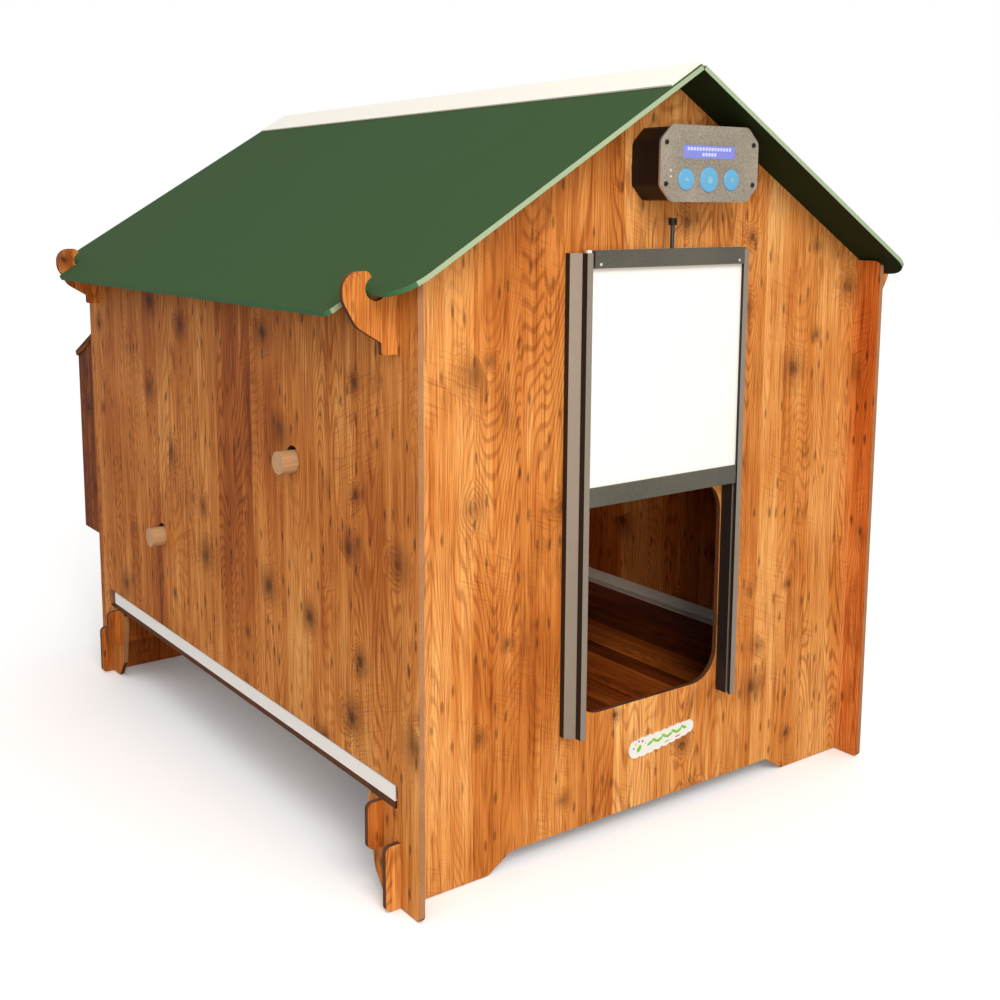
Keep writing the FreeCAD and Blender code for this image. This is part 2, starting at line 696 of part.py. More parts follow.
rivetZ = f"({topBandBottom} + rivetUp)"
panelSheet = block(
    "panel_sheet", (f"2 * (railHalf + {doorEdge})", "doorSheet", "doorHeight"),
    (f"{doorX} - railHalf - {doorEdge}", bandY, "doorBottom"))
nodes.append(without("door_panel", panelSheet, rivetBores("panel_bore")))
nodes.append(block(   # bonded to the panel
    "door_bottom_band", (f"2 * {bandHalf}", "bottomBandDeep", "bottomBand"),
    (f"{doorX} - {bandHalf}", f"{bandY} - bottomBandDeep", "doorBottom")))
highBar = block(
    "high_bar", (f"2 * {bandHalf}", "topBandDeep", "topBand"),
    (f"{doorX} - {bandHalf}", f"{bandY} - topBandDeep", topBandBottom))
highHollow = block(
    "high_hollow",
    (f"2 * {bandHalf} + 4", "topBandDeep - 2 * topBandSheet", "topBand - 2 * topBandSheet"),
    (f"{doorX} - {bandHalf} - 2", f"{bandY} - topBandDeep + topBandSheet",
     f"{topBandBottom} + topBandSheet"))
nodes.append(without("door_top_band", highBar,
                     [highHollow] + rivetBores("band_bore")))


def rivet(label, x):
    front = f"{bandY} - topBandDeep"
    return joined(label, [
        rod(label + "_head", "rivetRound", "0.8", (x, f"{front} - 0.8", rivetZ), "y"),
        rod(label + "_body", "rivetRound / 2", "topBandDeep + doorSheet + 1",
            (x, f"{front} - 0.4", rivetZ), "y"),
        rod(label + "_tail", "rivetRound", "0.8", (x, f"{bandY} + doorSheet", rivetZ), "y"),
    ])


nodes.append(group("door_rivets", [
    rivet(f"door_rivet_{index}", x) for index, x in enumerate(rivetX)
]))
stemY = f"({bandY} - topBandDeep / 2)"
nodes.append(rod("door_lift_stem", "stemRound", "stemLength", (doorX, stemY, doorTop)))
knob = rod("knob_body", "knobRound", "knobHeight", (doorX, stemY, f"{doorTop} + stemLength"))
knobEye = rod("knob_eye", "1.5", "20",
              (doorX, f"{stemY} - 10", f"{doorTop} + stemLength + knobHeight / 2"), "y")
nodes.append(without("door_lift_knob", knob, [knobEye]))

# control box --------------------------------------------------------------------------


def octagon(inset):
    across = f"(plateWidth / 2 - {inset})"
    high = f"(plateHigh / 2 - {inset})"
    return [
        (f"boxMiddle {sx} ({across}{cx})", f"{boxHeight} {sz} ({high}{cz})")
        for sx, sz, cx, cz in (
            ("-", "-", "", " - plateCorner"), ("-", "+", "", " - plateCorner"),
            ("-", "+", " - plateCorner", ""), ("+", "+", " - plateCorner", ""),
            ("+", "+", "", " - plateCorner"), ("+", "-", "", " - plateCorner"),
            ("+", "-", " - plateCorner", ""), ("-", "-", " - plateCorner", ""))
    ]


def octagonBoard(label, inset, depth, y):
    body = newBody(label)
    outline = polygon(body, "XZ_Plane", octagon(inset))
    pad(body, outline, depth)
    roundOff(body, outline, list(range(8)), "cornerRound")
    place(body, "0", y, "0")
    return body


housingBack = f"({frontFace} - seatGap)"
plateBack = f"({frontFace} - seatGap - housingDeep - seatGap)"
plateScrewSpots = [
    (f"boxMiddle {sx} plateScrewX", f"{boxHeight} {sz} plateScrewZ")
    for sx in "-+" for sz in "-+"
]
spoolZ = f"({boxHeight} - 2)"
spoolY = f"({frontFace} - spoolOut)"
cordY = stemY
housingOuter = octagonBoard("housing_outer", "housingIn", "housingDeep", housingBack)
housingHollow = octagonBoard("housing_hollow", "(housingIn + housingWall)", "housingDeep",
                             f"({housingBack} - housingWall)")
housingShell = without("housing_shell", housingOuter, [housingHollow])
posts = [
    rod(f"post_{index}", "postRound", "housingDeep - 1", (x, f"{housingBack} - housingDeep", z), "y")
    for index, (x, z) in enumerate(plateScrewSpots)
]
standoffSpots = [
    (f"boxMiddle {x}", f"{boxHeight} {sign} standoffZ")
    for x in ("- standoffLeft", "+ standoffRight") for sign in "-+"
]
standoffs = [
    rod(f"standoff_{index}", "2.5", "boardFront - seatGap - 1",
        (x, f"{frontFace} - boardFront + seatGap", z), "y")
    for index, (x, z) in enumerate(standoffSpots)
]
boxTools = [
    rod(f"box_bore_{index}", "screwShank + screwFit", "20", (x, f"{housingBack} - 12", z), "y")
    for index, (x, z) in enumerate(boxScrews)
] + [
    rod(f"post_bore_{index}", "plateScrew + screwFit", "16",
        (x, f"{housingBack} - housingDeep - 1", z), "y")
    for index, (x, z) in enumerate(plateScrewSpots)
] + [
    rod("eyelet_bore", "eyeletOut + screwFit", "12",
        (doorX, cordY, f"{boxHeight} - plateHigh / 2 - 2"))
]
housingSolid = joined("housing_solid", [housingShell] + posts + standoffs)
nodes.append(without("control_housing", housingSolid, boxTools))
nodes.append(group("box_mount_screws", [
    screw(f"box_screw_{index}", x, z, f"{housingBack} - housingWall - screwHeadHigh",
          f"{housingBack} - housingWall - 0.5", f"(-{gableBack})")
    for index, (x, z) in enumerate(boxScrews)
]))

buttonSpots = [
    ("left", "boxMiddle + lensAside - buttonPitch", "buttonRound"),
    ("middle", "boxMiddle + lensAside", "midButtonRound"),
    ("right", "boxMiddle + lensAside + buttonPitch", "buttonRound"),
]
buttonZ = f"({boxHeight} - buttonDown)"
lampSpots = [
    ("boxMiddle - lampAside", f"{boxHeight} - lampDown"),
    ("boxMiddle - lampAside", f"{boxHeight} - lampDown - lampPitch"),
]
plate = newBody("control_faceplate")
plateOutline = polygon(plate, "XZ_Plane", octagon("0"))
pad(plate, plateOutline, "plateSheet")
roundOff(plate, plateOutline, list(range(8)), "cornerRound")
pocket(plate, circles(plate, "XZ_Plane", [
    (x, buttonZ, f"{radius} + buttonGap") for side, x, radius in buttonSpots
] + [
    (x, z, "lampRound + screwFit") for x, z in lampSpots
] + [
    (x, z, "plateScrew + screwFit") for x, z in plateScrewSpots
]))
lensX = "(boxMiddle + lensAside)"
lensZ = f"({boxHeight} + lensUp)"
pocket(plate, polygon(plate, "XZ_Plane", upright((
    f"{lensX} - lensWidth / 2 - screwFit", f"{lensX} + lensWidth / 2 + screwFit",
    f"{lensZ} - lensHigh / 2 - screwFit", f"{lensZ} + lensHigh / 2 + screwFit"))))
nodes.append(place(plate, "0", plateBack, "0"))

plateFront = f"({plateBack} - plateSheet)"
circuitFront = f"({frontFace} - boardFront - boardSheet)"
nodes.append(group("faceplate_screws", [
    joined(f"plate_screw_{index}", [
        rod(f"plate_screw_{index}_head", "2 * plateScrew", "1.6", (x, f"{plateFront} - 1.6", z), "y"),
        rod(f"plate_screw_{index}_shank", "plateScrew", "14", (x, f"{plateFront} - 0.5", z), "y"),
    ])
    for index, (x, z) in enumerate(plateScrewSpots)
]))
# the display is a module on the circuit board whose window fills the cut in the faceplate
nodes.append(joined("display_window", [
    block("lens", ("lensWidth", "plateSheet", "lensHigh"),
          (f"{lensX} - lensWidth / 2", f"{plateFront} + 0.4", f"{lensZ} - lensHigh / 2")),
    block("lens_module",
          ("lensWidth + 4", f"({circuitFront} - {plateBack} - seatGap) - 0.3", "lensHigh + 4"),
          (f"{lensX} - lensWidth / 2 - 2", f"{plateBack} + 0.3", f"{lensZ} - lensHigh / 2 - 2")),
]))
for side, x, radius in buttonSpots:
    nodes.append(rod(f"button_{side}", radius, "buttonLong",
                     (x, f"{plateFront} - buttonProud", buttonZ), "y"))
nodes.append(group("indicator_lamps", [
    rod(f"lamp_{index}", "lampRound", f"({circuitFront} - {plateFront}) - seatGap + 0.5",
        (x, f"{plateFront} - 0.5", z), "y")
    for index, (x, z) in enumerate(lampSpots)
]))
circuit = block("circuit_sheet", ("2 * boardHalf", "boardSheet", "boardHigh"),
                ("boxMiddle - boardHalf", circuitFront, f"{boxHeight} - boardHigh / 2"))
circuitCuts = [
    rod(f"circuit_bore_{index}", "postRound + 2", "6", (x, f"{circuitFront} - 2", z), "y")
    for index, (x, z) in enumerate(plateScrewSpots)
]
switches = [
    block(f"switch_{side}", ("7", f"({circuitFront} - {plateFront} + buttonProud - buttonLong) - 1.8", "7"),
          (f"{x} - 3.5", f"{plateFront} - buttonProud + buttonLong + 1.8", f"{buttonZ} - 3.5"))
    for side, x, radius in buttonSpots
]
nodes.append(without("circuit_board", circuit, circuitCuts))
nodes.append(group("button_switches", switches))

# motor and spool hang on the back of the housing, the spool above the door's middle
spoolStart = "(-doorAside - spoolWide / 2)"
gearStart = "(-doorAside + spoolWide / 2 + 2)"
innerBack = f"({housingBack} - housingWall)"
nodes.append(joined("gear_motor", [
    block("gearbox", ("gearLong", f"2 * ({innerBack} - seatGap - {spoolY})", "gearHigh"),
          (gearStart, f"{spoolY} - ({innerBack} - seatGap - {spoolY})", f"{spoolZ} - gearHigh / 2")),
    rod("motor_can", "motorRound", "gearLong + motorLong", (gearStart, spoolY, spoolZ), "x"),
]))
nodes.append(joined("cord_spool", [
    rod("spool_hub", "spoolHub", "spoolWide", (spoolStart, spoolY, spoolZ), "x"),
    rod("spool_flange_left", "spoolFlange", "2", (spoolStart, spoolY, spoolZ), "x"),
    rod("spool_flange_right", "spoolFlange", "2",
        (f"{spoolStart} + spoolWide - 2", spoolY, spoolZ), "x"),
    rod("spool_shaft", "2.5", "spoolWide + 1.7", (spoolStart, spoolY, spoolZ), "x"),
]))
holderX = "(boxMiddle + plateScrewX - postRound - 1 - cellLong - 2 * cellWall - 0.6)"
cellPitch = "(2 * cellRound + 0.6)"
holderHigh = f"(4 * {cellPitch} + 2 * cellWall)"
holderDeep = "(2 * cellRound + cellWall + 0.6)"
holderZ = f"({boxHeight} - {holderHigh} / 2)"
holderBlock = block(
    "holder_block", ("cellLong + 2 * cellWall + 0.6", holderDeep, holderHigh),
    (holderX, f"{innerBack} - seatGap - {holderDeep}", holderZ))
holderHollow = block(
    "holder_hollow", ("cellLong + 0.6", holderDeep, f"{holderHigh} - 2 * cellWall"),
    (f"{holderX} + cellWall", f"{innerBack} - seatGap - {holderDeep} - cellWall", f"{holderZ} + cellWall"))
nodes.append(without("battery_holder", holderBlock, [holderHollow]))
nodes.append(group("battery_cells", [
    rod(f"cell_{index}", "cellRound", "cellLong",
        (f"{holderX} + cellWall + 0.3", f"{innerBack} - seatGap - cellWall - cellRound - 0.3",
         f"{holderZ} + cellWall + {cellPitch} * {index + 0.5}"), "x")
    for index in range(4)
]))
eyeletLow = f"({boxHeight} - plateHigh / 2 + housingIn)"
eyeletSolid = joined("eyelet_solid", [
    rod("eyelet_tube", "eyeletOut", "housingWall + 2", (doorX, cordY, f"{eyeletLow} - 1")),
    rod("eyelet_lip", "eyeletOut + 2", "1.2", (doorX, cordY, f"{eyeletLow} - 1.5")),
])
eyeletWay = rod("eyelet_way", "eyeletBore", "20", (doorX, cordY, f"{eyeletLow} - 8"))
nodes.append(without("cord_eyelet", eyeletSolid, [eyeletWay]))

# plaque -------------------------------------------------------------------------------

plaque = newBody("front_plaque")
plaqueOutline = polygon(plaque, "XZ_Plane", upright((
    "plaqueAside - plaqueWidth / 2", "plaqueAside + plaqueWidth / 2",
    "plaqueHeight - plaqueHigh / 2", "plaqueHeight + plaqueHigh / 2")))
pad(plaque, plaqueOutline, "plaqueSheet")
roundOff(plaque, plaqueOutline, [0, 1, 2, 3], "plaqueHigh / 2 - 1")
nodes.append(place(plaque, "0", f"({frontFace} - seatGap)", "0"))

# nest box -----------------------------------------------------------------------------

nestStart = f"({gableFace} + seatGap)"
nestBack = f"({gableFace} + nestDeep)"


def lidUnder(y):
    # underside of the lid, less its seat, at a distance y behind the middle of the coop
    return (f"({hingeHeight} - ({y} - {hingeY}) * tan(nestAngle)"
            " - (hingeDown + board + seatGap) / cos(nestAngle))")


def nestSide(label, x):
    body = newBody(label)
    outline = polygon(body, "YZ_Plane", [
        (nestStart, "nestBottom"), (nestStart, "tabLow"), (gableBack, "tabLow"),
        (gableBack, "tabLow + tabTall"), (nestStart, "tabLow + tabTall"),
        (nestStart, "tabHigh"), (gableBack, "tabHigh"), (gableBack, "tabHigh + tabTall"),
        (nestStart, "tabHigh + tabTall"), (nestStart, lidUnder(nestStart)),
        (nestBack, lidUnder(nestBack)), (nestBack, "nestBottom"),
    ])
    pad(body, outline, "board")
    return place(body, x, "0", "0")


nodes.append(nestSide("nest_side_left", f"(-{nestHalf})"))
nodes.append(nestSide("nest_side_right", f"({nestHalf} - board)"))
nestClear = f"({nestHalf} - board - seatGap)"
nodes.append(block(
    "nest_floor", (f"2 * {nestClear}", "nestDeep - 2 * seatGap - board", "board"),
    (f"-{nestClear}", nestStart, "nestBottom")))
nodes.append(block(
    "nest_back",
    (f"2 * {nestClear}", "board", f"{lidUnder(nestBack)} - nestBottom"),
    (f"-{nestClear}", f"{nestBack} - board", "nestBottom")))

# the lid is drawn from its hinge axis: along its slope and square to it
lid = newBody("nest_lid")
lidHalf = f"({nestHalf} + lidSide)"
lidOutline = polygon(lid, "XY_Plane", [
    (f"-{lidHalf}", "lidStart"), (f"-{lidHalf}", "lidStart + lidLong"),
    (lidHalf, "lidStart + lidLong"), (lidHalf, "lidStart")])
pad(lid, lidOutline, "board")
roundOff(lid, lidOutline, [1, 2], "lidRound")
turn(lid, FreeCAD.Vector(1, 0, 0), "-nestAngle")
nodes.append(place(
    lid, "0", f"({hingeY} - (hingeDown + board) * sin(nestAngle))",
    f"{hingeHeight} - (hingeDown + board) * cos(nestAngle)"))

hingeSpots = ["(-hingeAside)", "hingeAside"]
fixedLeaves = []
movingLeaves = []
pins = []
for index, x in enumerate(hingeSpots):
    fixed = joined(f"fixed_solid_{index}", [
        block(f"fixed_leaf_{index}", ("2 * knuckleHalf", "leafSheet", "leafLong"),
              (f"{x} - knuckleHalf", f"({gableFace} + seatGap)", hingeHeight)),
        rod(f"fixed_knuckle_{index}", "knuckle", "2 * knuckleHalf",
            (f"{x} - knuckleHalf", hingeY, hingeHeight), "x"),
    ])
    fixedLeaves.append(without(f"fixed_{index}", fixed, [
        rod(f"fixed_bore_{index}", "hingePin + pinFit", "4 * knuckleHalf",
            (f"{x} - 2 * knuckleHalf", hingeY, hingeHeight), "x")]))
    solids = []
    for side, start in enumerate((f"{x} - knuckleHalf - seatGap - knuckleSide",
                                  f"{x} + knuckleHalf + seatGap")):
        leaf = doc.addObject("Part::Box", f"moving_leaf_{index}_{side}")
        bind(leaf, "Length", "knuckleSide")
        bind(leaf, "Width", "leafLong")
        bind(leaf, "Height", "leafSheet")
        turn(leaf, FreeCAD.Vector(1, 0, 0), "-nestAngle")
        place(leaf, start, f"({hingeY} - hingeDown * sin(nestAngle))",
              f"{hingeHeight} - hingeDown * cos(nestAngle)")
        solid = joined(f"moving_solid_{index}_{side}", [
            leaf,
            rod(f"moving_knuckle_{index}_{side}", "knuckle", "knuckleSide",
                (start, hingeY, hingeHeight), "x")])
        solids.append(without(f"moving_{index}_{side}", solid, [
            rod(f"moving_bore_{index}_{side}", "hingePin + pinFit", "knuckleSide + 4",
                (f"{start} - 2", hingeY, hingeHeight), "x")]))
    movingLeaves += solids
    pins.append(rod(f"pin_{index}", "hingePin", "2 * (knuckleHalf + knuckleSide)",
                    (f"{x} - knuckleHalf - knuckleSide", hingeY, hingeHeight), "x"))
nodes.append(group("hinge_fixed_leaves", fixedLeaves))
nodes.append(group("hinge_lid_leaves", movingLeaves))
nodes.append(group("hinge_pins", pins))

# checks and files ---------------------------------------------------------------------

doc.recompute()
for item in doc.Objects:
    if "Invalid" in item.State or "Error" in item.State:
        raise RuntimeError(f"{item.Label}: {item.State}")
os.makedirs("parts", exist_ok=True)
for node in nodes:
    if node.Shape.isNull() or not node.Shape.isValid() or not node.Shape.Solids:
        raise RuntimeError(f"{node.Label}: no valid solid")
for node in nodes:
    node.Shape.exportStep(f"parts/{node.Label}.step")
    box = node.Shape.BoundBox
    print(f"{node.Label:22s} {len(node.Shape.Solids)} solids  {node.Shape.Volume / 1000:10.2f} cm3 "
          f" x {box.XMin:8.1f} {box.XMax:8.1f}  y {box.YMin:8.1f} {box.YMax:8.1f} "
          f" z {box.ZMin:7.1f} {box.ZMax:7.1f}")
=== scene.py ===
import math
import bpy
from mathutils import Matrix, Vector


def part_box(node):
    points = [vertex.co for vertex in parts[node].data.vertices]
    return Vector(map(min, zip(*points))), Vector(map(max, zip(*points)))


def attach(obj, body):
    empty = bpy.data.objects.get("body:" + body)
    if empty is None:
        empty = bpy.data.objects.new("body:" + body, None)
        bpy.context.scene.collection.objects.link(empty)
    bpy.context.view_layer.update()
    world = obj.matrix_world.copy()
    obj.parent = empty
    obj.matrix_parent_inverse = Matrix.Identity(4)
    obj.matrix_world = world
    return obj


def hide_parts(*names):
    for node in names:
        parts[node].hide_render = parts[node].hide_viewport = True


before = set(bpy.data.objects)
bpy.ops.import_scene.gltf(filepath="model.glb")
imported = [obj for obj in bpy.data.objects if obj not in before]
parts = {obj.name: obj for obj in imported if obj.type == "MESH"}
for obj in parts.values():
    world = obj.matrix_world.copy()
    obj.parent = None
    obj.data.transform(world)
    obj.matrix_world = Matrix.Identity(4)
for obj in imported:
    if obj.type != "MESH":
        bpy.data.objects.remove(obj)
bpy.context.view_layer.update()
print("frame loaded,", len(parts), "nodes")


# helpers for node trees

def addNode(tree, kind, sockets=None, **settings):
    made = tree.nodes.new(kind)
    for name, value in settings.items():
        setattr(made, name, value)
    for name, value in (sockets or {}).items():
        if isinstance(value, bpy.types.NodeSocket):
            tree.links.new(value, made.inputs[name])
        else:
            made.inputs[name].default_value = value
    return made


def calc(tree, operation, *values):
    return addNode(tree, "ShaderNodeMath", dict(enumerate(values)), operation=operation).outputs[0]


def plus(tree, *values):
    total = values[0]
    for value in values[1:]:
        total = calc(tree, "ADD", total, value)
    return total


def times(tree, first, second):
    return calc(tree, "MULTIPLY", first, second)


def centred(tree, value, share):   # a 0..1 value turned into one about 0, with that much swing
    return times(tree, calc(tree, "SUBTRACT", value, 0.5), share)


def combine(tree, x, y, z):
    return addNode(tree, "ShaderNodeCombineXYZ", {"X": x, "Y": y, "Z": z}).outputs[0]


def softStep(tree, value, low, high, start=0.0, end=1.0):
    return addNode(tree, "ShaderNodeMapRange", {
        "Value": value, "From Min": low, "From Max": high, "To Min": start, "To Max": end},
        interpolation_type="SMOOTHSTEP").outputs[0]


def noise(tree, vector, scale=1.0, detail=2.0, roughness=0.5):
    return addNode(tree, "ShaderNodeTexNoise", {
        "Vector": vector, "Scale": scale, "Detail": detail, "Roughness": roughness}).outputs["Fac"]


def blendColour(tree, factor, first, second, how="MIX"):
    made = addNode(tree, "ShaderNodeMix", data_type="RGBA", blend_type=how)
    for place, value in ((0, factor), (6, first), (7, second)):
        if isinstance(value, bpy.types.NodeSocket):
            tree.links.new(value, made.inputs[place])
        elif place:
            made.inputs[place].default_value = (*value, 1)
        else:
            made.inputs[place].default_value = value
    return made.outputs[2]


def cells(tree, x, y):   # scattered points: how far the nearest is, and random numbers of its own
    found = addNode(tree, "ShaderNodeTexVoronoi", {
        "Vector": combine(tree, x, y, 0.0), "Scale": 1.0, "Randomness": 1.0}, voronoi_dimensions="2D")
    own = addNode(tree, "ShaderNodeSeparateColor", {"Color": found.outputs["Color"]}).outputs
    return found.outputs["Distance"], own


def newGroup(name, takes, gives):
    group = bpy.data.node_groups.new(name, "ShaderNodeTree")
    for title, kind, value in takes:
        socket = group.interface.new_socket(name=title, in_out="INPUT", socket_type="NodeSocket" + kind)
        if value is not None:
            socket.default_value = value
    for title, kind in gives:
        group.interface.new_socket(name=title, in_out="OUTPUT", socket_type="NodeSocket" + kind)
    return group, group.nodes.new("NodeGroupInput").outputs, group.nodes.new("NodeGroupOutput").inputs


# printed knotty pine: Vector is (across the planks, along the grain, through the board), in metres
pine = {
    "waver": 0.004,          # how far a plank's edge strays
    "plankTone": 0.30, "patchTone": 0.70, "streakTone": 0.62, "hairTone": 0.12,   # swings in lightness
    "knotsAcross": 9.0, "knotsAlong": 8.4,   # places for a knot, per metre
    "knotShare": 0.42,       # share of those places that stay empty
    "knotSize": (0.045, 0.115),   # in spacings
    "ragged": 0.015,         # how far a knot's outline strays
    "haloReach": 3.4,        # in knot sizes
    "ringBend": 0.06,        # how strongly growth rings bend round a knot
    "ticksAcross": 62.0, "ticksAlong": 19.0, "tickShare": 0.66, "tickSize": (0.22, 0.06),
    "rings": 560.0,
    "through": 0.2,          # how fast the pattern changes through the board
    "rough": 0.46, "bump": 0.4, "relief": 0.0006,
    "brown": (0.42, 0.24, 0.15), "smudgeBrown": (0.30, 0.18, 0.13), "haloBrown": (0.22, 0.14, 0.12),
    "heartBrown": (0.045, 0.018, 0.009), "tickBrown": (0.050, 0.018, 0.008),
    "ringDark": 0.54, "fibreDark": 0.72, "sawDark": 0.42, "smudgeDark": 0.55, "haloDark": 0.62,
    "heartDark": 0.80, "tickDark": 0.70,
    "ramp": ((0.0, (0.090, 0.018, 0.002)), (0.20, (0.23, 0.050, 0.006)), (0.40, (0.45, 0.124, 0.016)),
             (0.58, (0.63, 0.225, 0.043)), (0.76, (0.79, 0.365, 0.100)), (1.0, (0.93, 0.570, 0.215))),
}


def buildPinePrint():
    tree, given, out = newGroup("pinePrint", [
        ("Vector", "Vector", None), ("Plank Width", "Float", 0.055), ("Plank Length", "Float", 40.0),
        ("Seed", "Float", 0.0), ("Tone", "Float", 0.0), ("Knots", "Float", 1.0)],
        [("Color", "Color"), ("Height", "Float"), ("Gloss", "Float")])
    seed, knotty = given["Seed"], given["Knots"]
    axes = addNode(tree, "ShaderNodeSeparateXYZ", {"Vector": given["Vector"]}).outputs
    across, along = axes[0], axes[1]

    def spread(overAcross, overAlong, shift=seed, detail=2.0, roughness=0.5):
        place = combine(tree, times(tree, across, overAcross), times(tree, along, overAlong), shift)
        return noise(tree, place, 1.0, detail, roughness)

    # planks: strips with butt joints, each with random numbers of its own
    waver = centred(tree, spread(4.0, 1.4), pine["waver"])
    rip = plus(tree, calc(tree, "DIVIDE", plus(tree, across, waver), given["Plank Width"]),
               times(tree, seed, 7.3))
    strip = addNode(tree, "ShaderNodeTexVoronoi", {"W": rip, "Scale": 1.0, "Randomness": 0.85},
                    voronoi_dimensions="1D")
    stripOwn = addNode(tree, "ShaderNodeSeparateColor", {"Color": strip.outputs["Color"]}).outputs
    butt = calc(tree, "FLOOR", plus(tree, calc(tree, "DIVIDE", along, given["Plank Length"]),
                                    times(tree, stripOwn[0], 9.0)))
    plank = addNode(tree, "ShaderNodeTexWhiteNoise", {"Vector": combine(
        tree, times(tree, stripOwn[1], 91.0), butt, seed)}, noise_dimensions="3D")
    plankOwn = addNode(tree, "ShaderNodeSeparateColor", {"Color": plank.outputs["Color"]}).outputs

    # knots: a dark heart in a blurred, ragged halo
    tremble = addNode(tree, "ShaderNodeTexNoise", {
        "Vector": given["Vector"], "Scale": 58.0, "Detail": 4.0, "Roughness": 0.72}).outputs["Color"]
    tremble = addNode(tree, "ShaderNodeSeparateColor", {"Color": tremble}).outputs
    shakenAcross = plus(tree, across, centred(tree, tremble[0], pine["ragged"]))
    shakenAlong = plus(tree, along, centred(tree, tremble[1], pine["ragged"]))
    knotFar, knotOwn = cells(
        tree, plus(tree, times(tree, shakenAcross, pine["knotsAcross"]), times(tree, seed, 5.1)),
        plus(tree, times(tree, shakenAlong, pine["knotsAlong"]), times(tree, seed, 3.7)))
    real = times(tree, softStep(tree, knotOwn[0], pine["knotShare"], pine["knotShare"] + 0.04), knotty)
    reach = calc(tree, "DIVIDE", knotFar, softStep(tree, knotOwn[1], 0.0, 1.0, *pine["knotSize"]))
    heart = times(tree, times(tree, softStep(tree, reach, 1.2, 0.1), real), softStep(
        tree, knotOwn[2], 0.0, 0.9, 0.40, 1.0))
    halo = times(tree, softStep(tree, reach, pine["haloReach"], 0.2), real)

    # short dark ticks along the grain
    shakenAcross = plus(tree, across, centred(tree, tremble[0], 0.004))
    shakenAlong = plus(tree, along, centred(tree, tremble[1], 0.012))
    tickFar, tickOwn = cells(
        tree, plus(tree, times(tree, shakenAcross, pine["ticksAcross"]), times(tree, seed, 11.0)),
        plus(tree, times(tree, shakenAlong, pine["ticksAlong"]), times(tree, seed, 2.3)))
    tick = times(tree, softStep(tree, tickFar, *pine["tickSize"]), times(tree, knotty, softStep(
        tree, tickOwn[0], pine["tickShare"], pine["tickShare"] + 0.12)))

    # growth rings: contour lines of a stretched noise, bent round the knots
    field = noise(tree, combine(
        tree, plus(tree, times(tree, across, 7.5), times(tree, plankOwn[0], 31.0)),
        plus(tree, times(tree, along, 1.05), times(tree, plankOwn[1], 17.0)),
        times(tree, plankOwn[2], 11.0)), 1.0, 2.0, 0.4)
    bent = plus(tree, field, times(tree, halo, pine["ringBend"]))
    ring = calc(tree, "SINE", times(tree, bent, pine["rings"]))
    ringLine = times(tree, softStep(tree, ring, 0.0, 0.95),
                     softStep(tree, spread(6.0, 2.0), 0.35, 0.65, 0.35, 1.0))

    # fibres, streaks, stains and saw marks
    fibre = spread(480.0, 11.0, detail=2.5, roughness=0.65)
    hair = spread(1500.0, 45.0, detail=1.0)
    streak = noise(tree, combine(
        tree, plus(tree, times(tree, across, 85.0), times(tree, plankOwn[2], 40.0)),
        times(tree, along, 2.4), seed), 1.0, 3.0, 0.65)
    patch = spread(8.0, 3.0, plus(tree, seed, 3.0), 3.0, 0.6)
    smudge = softStep(tree, spread(22.0, 9.0, plus(tree, seed, 9.0), 4.0, 0.65), 0.56, 0.78)
    saw = noise(tree, combine(tree, times(tree, across, 30.0), plus(
        tree, times(tree, along, 400.0), times(tree, across, 170.0)), seed), 1.0, 1.0)
    sawn = times(tree, softStep(tree, spread(10.0, 6.0, plus(tree, seed, 5.0)), 0.48, 0.66),
                 softStep(tree, saw, 0.5, 0.72))

    tone = plus(tree, given["Tone"], 0.5, centred(tree, plankOwn[1], pine["plankTone"]),
                centred(tree, patch, pine["patchTone"]), centred(tree, streak, pine["streakTone"]),
                centred(tree, hair, pine["hairTone"]))
    ramp = addNode(tree, "ShaderNodeValToRGB", {"Fac": tone})
    stops = ramp.color_ramp.elements
    for place, (position, colour) in enumerate(pine["ramp"]):
        stop = stops[0] if place == 0 else stops.new(position) if position < 1 else stops[len(stops) - 1]
        stop.position = position
        stop.color = (*colour, 1)
    colour = ramp.outputs["Color"]
    for kind, mask, shade, how in (
            ("ring", ringLine, "brown", "MULTIPLY"),
            ("fibre", softStep(tree, fibre, 0.54, 0.30), "brown", "MULTIPLY"),
            ("saw", sawn, "brown", "MULTIPLY"), ("smudge", smudge, "smudgeBrown", "MULTIPLY"),
            ("halo", halo, "haloBrown", "MULTIPLY"), ("heart", heart, "heartBrown", "MIX"),
            ("tick", tick, "tickBrown", "MIX")):
        colour = blendColour(tree, times(tree, mask, pine[kind + "Dark"]), colour, pine[shade], how)
    tree.links.new(colour, out["Color"])
    tree.links.new(plus(tree, times(tree, fibre, 0.6), times(tree, ringLine, -0.4), times(tree, heart, -0.6),
                        times(tree, tick, -0.5)), out["Height"])
    tree.links.new(plus(tree, times(tree, ringLine, 0.10), times(tree, fibre, 0.20)), out["Gloss"])
    return tree


# fine mottling for painted, moulded and metal surfaces
def buildMottle():
    tree, given, out = newGroup("mottle", [
        ("Vector", "Vector", None), ("Size", "Float", 0.002), ("Stretch", "Vector", (1, 1, 1)),
        ("Contrast", "Float", 0.1)], [("Shade", "Float"), ("Height", "Float"), ("Patch", "Float")])
    stretched = addNode(tree, "ShaderNodeVectorMath", {0: given["Vector"], 1: given["Stretch"]},
                        operation="MULTIPLY").outputs[0]
    fine = noise(tree, stretched, calc(tree, "DIVIDE", 1.0, given["Size"]), 3.0, 0.6)
    wide = noise(tree, given["Vector"], 7.0, 3.0, 0.55)
    wideSwing = centred(tree, wide, times(tree, given["Contrast"], 0.5))
    tree.links.new(plus(tree, 1.0, centred(tree, fine, given["Contrast"]), wideSwing), out["Shade"])
    tree.links.new(fine, out["Height"])
    tree.links.new(wide, out["Patch"])
    return tree


pinePrint = buildPinePrint()
mottle = buildMottle()


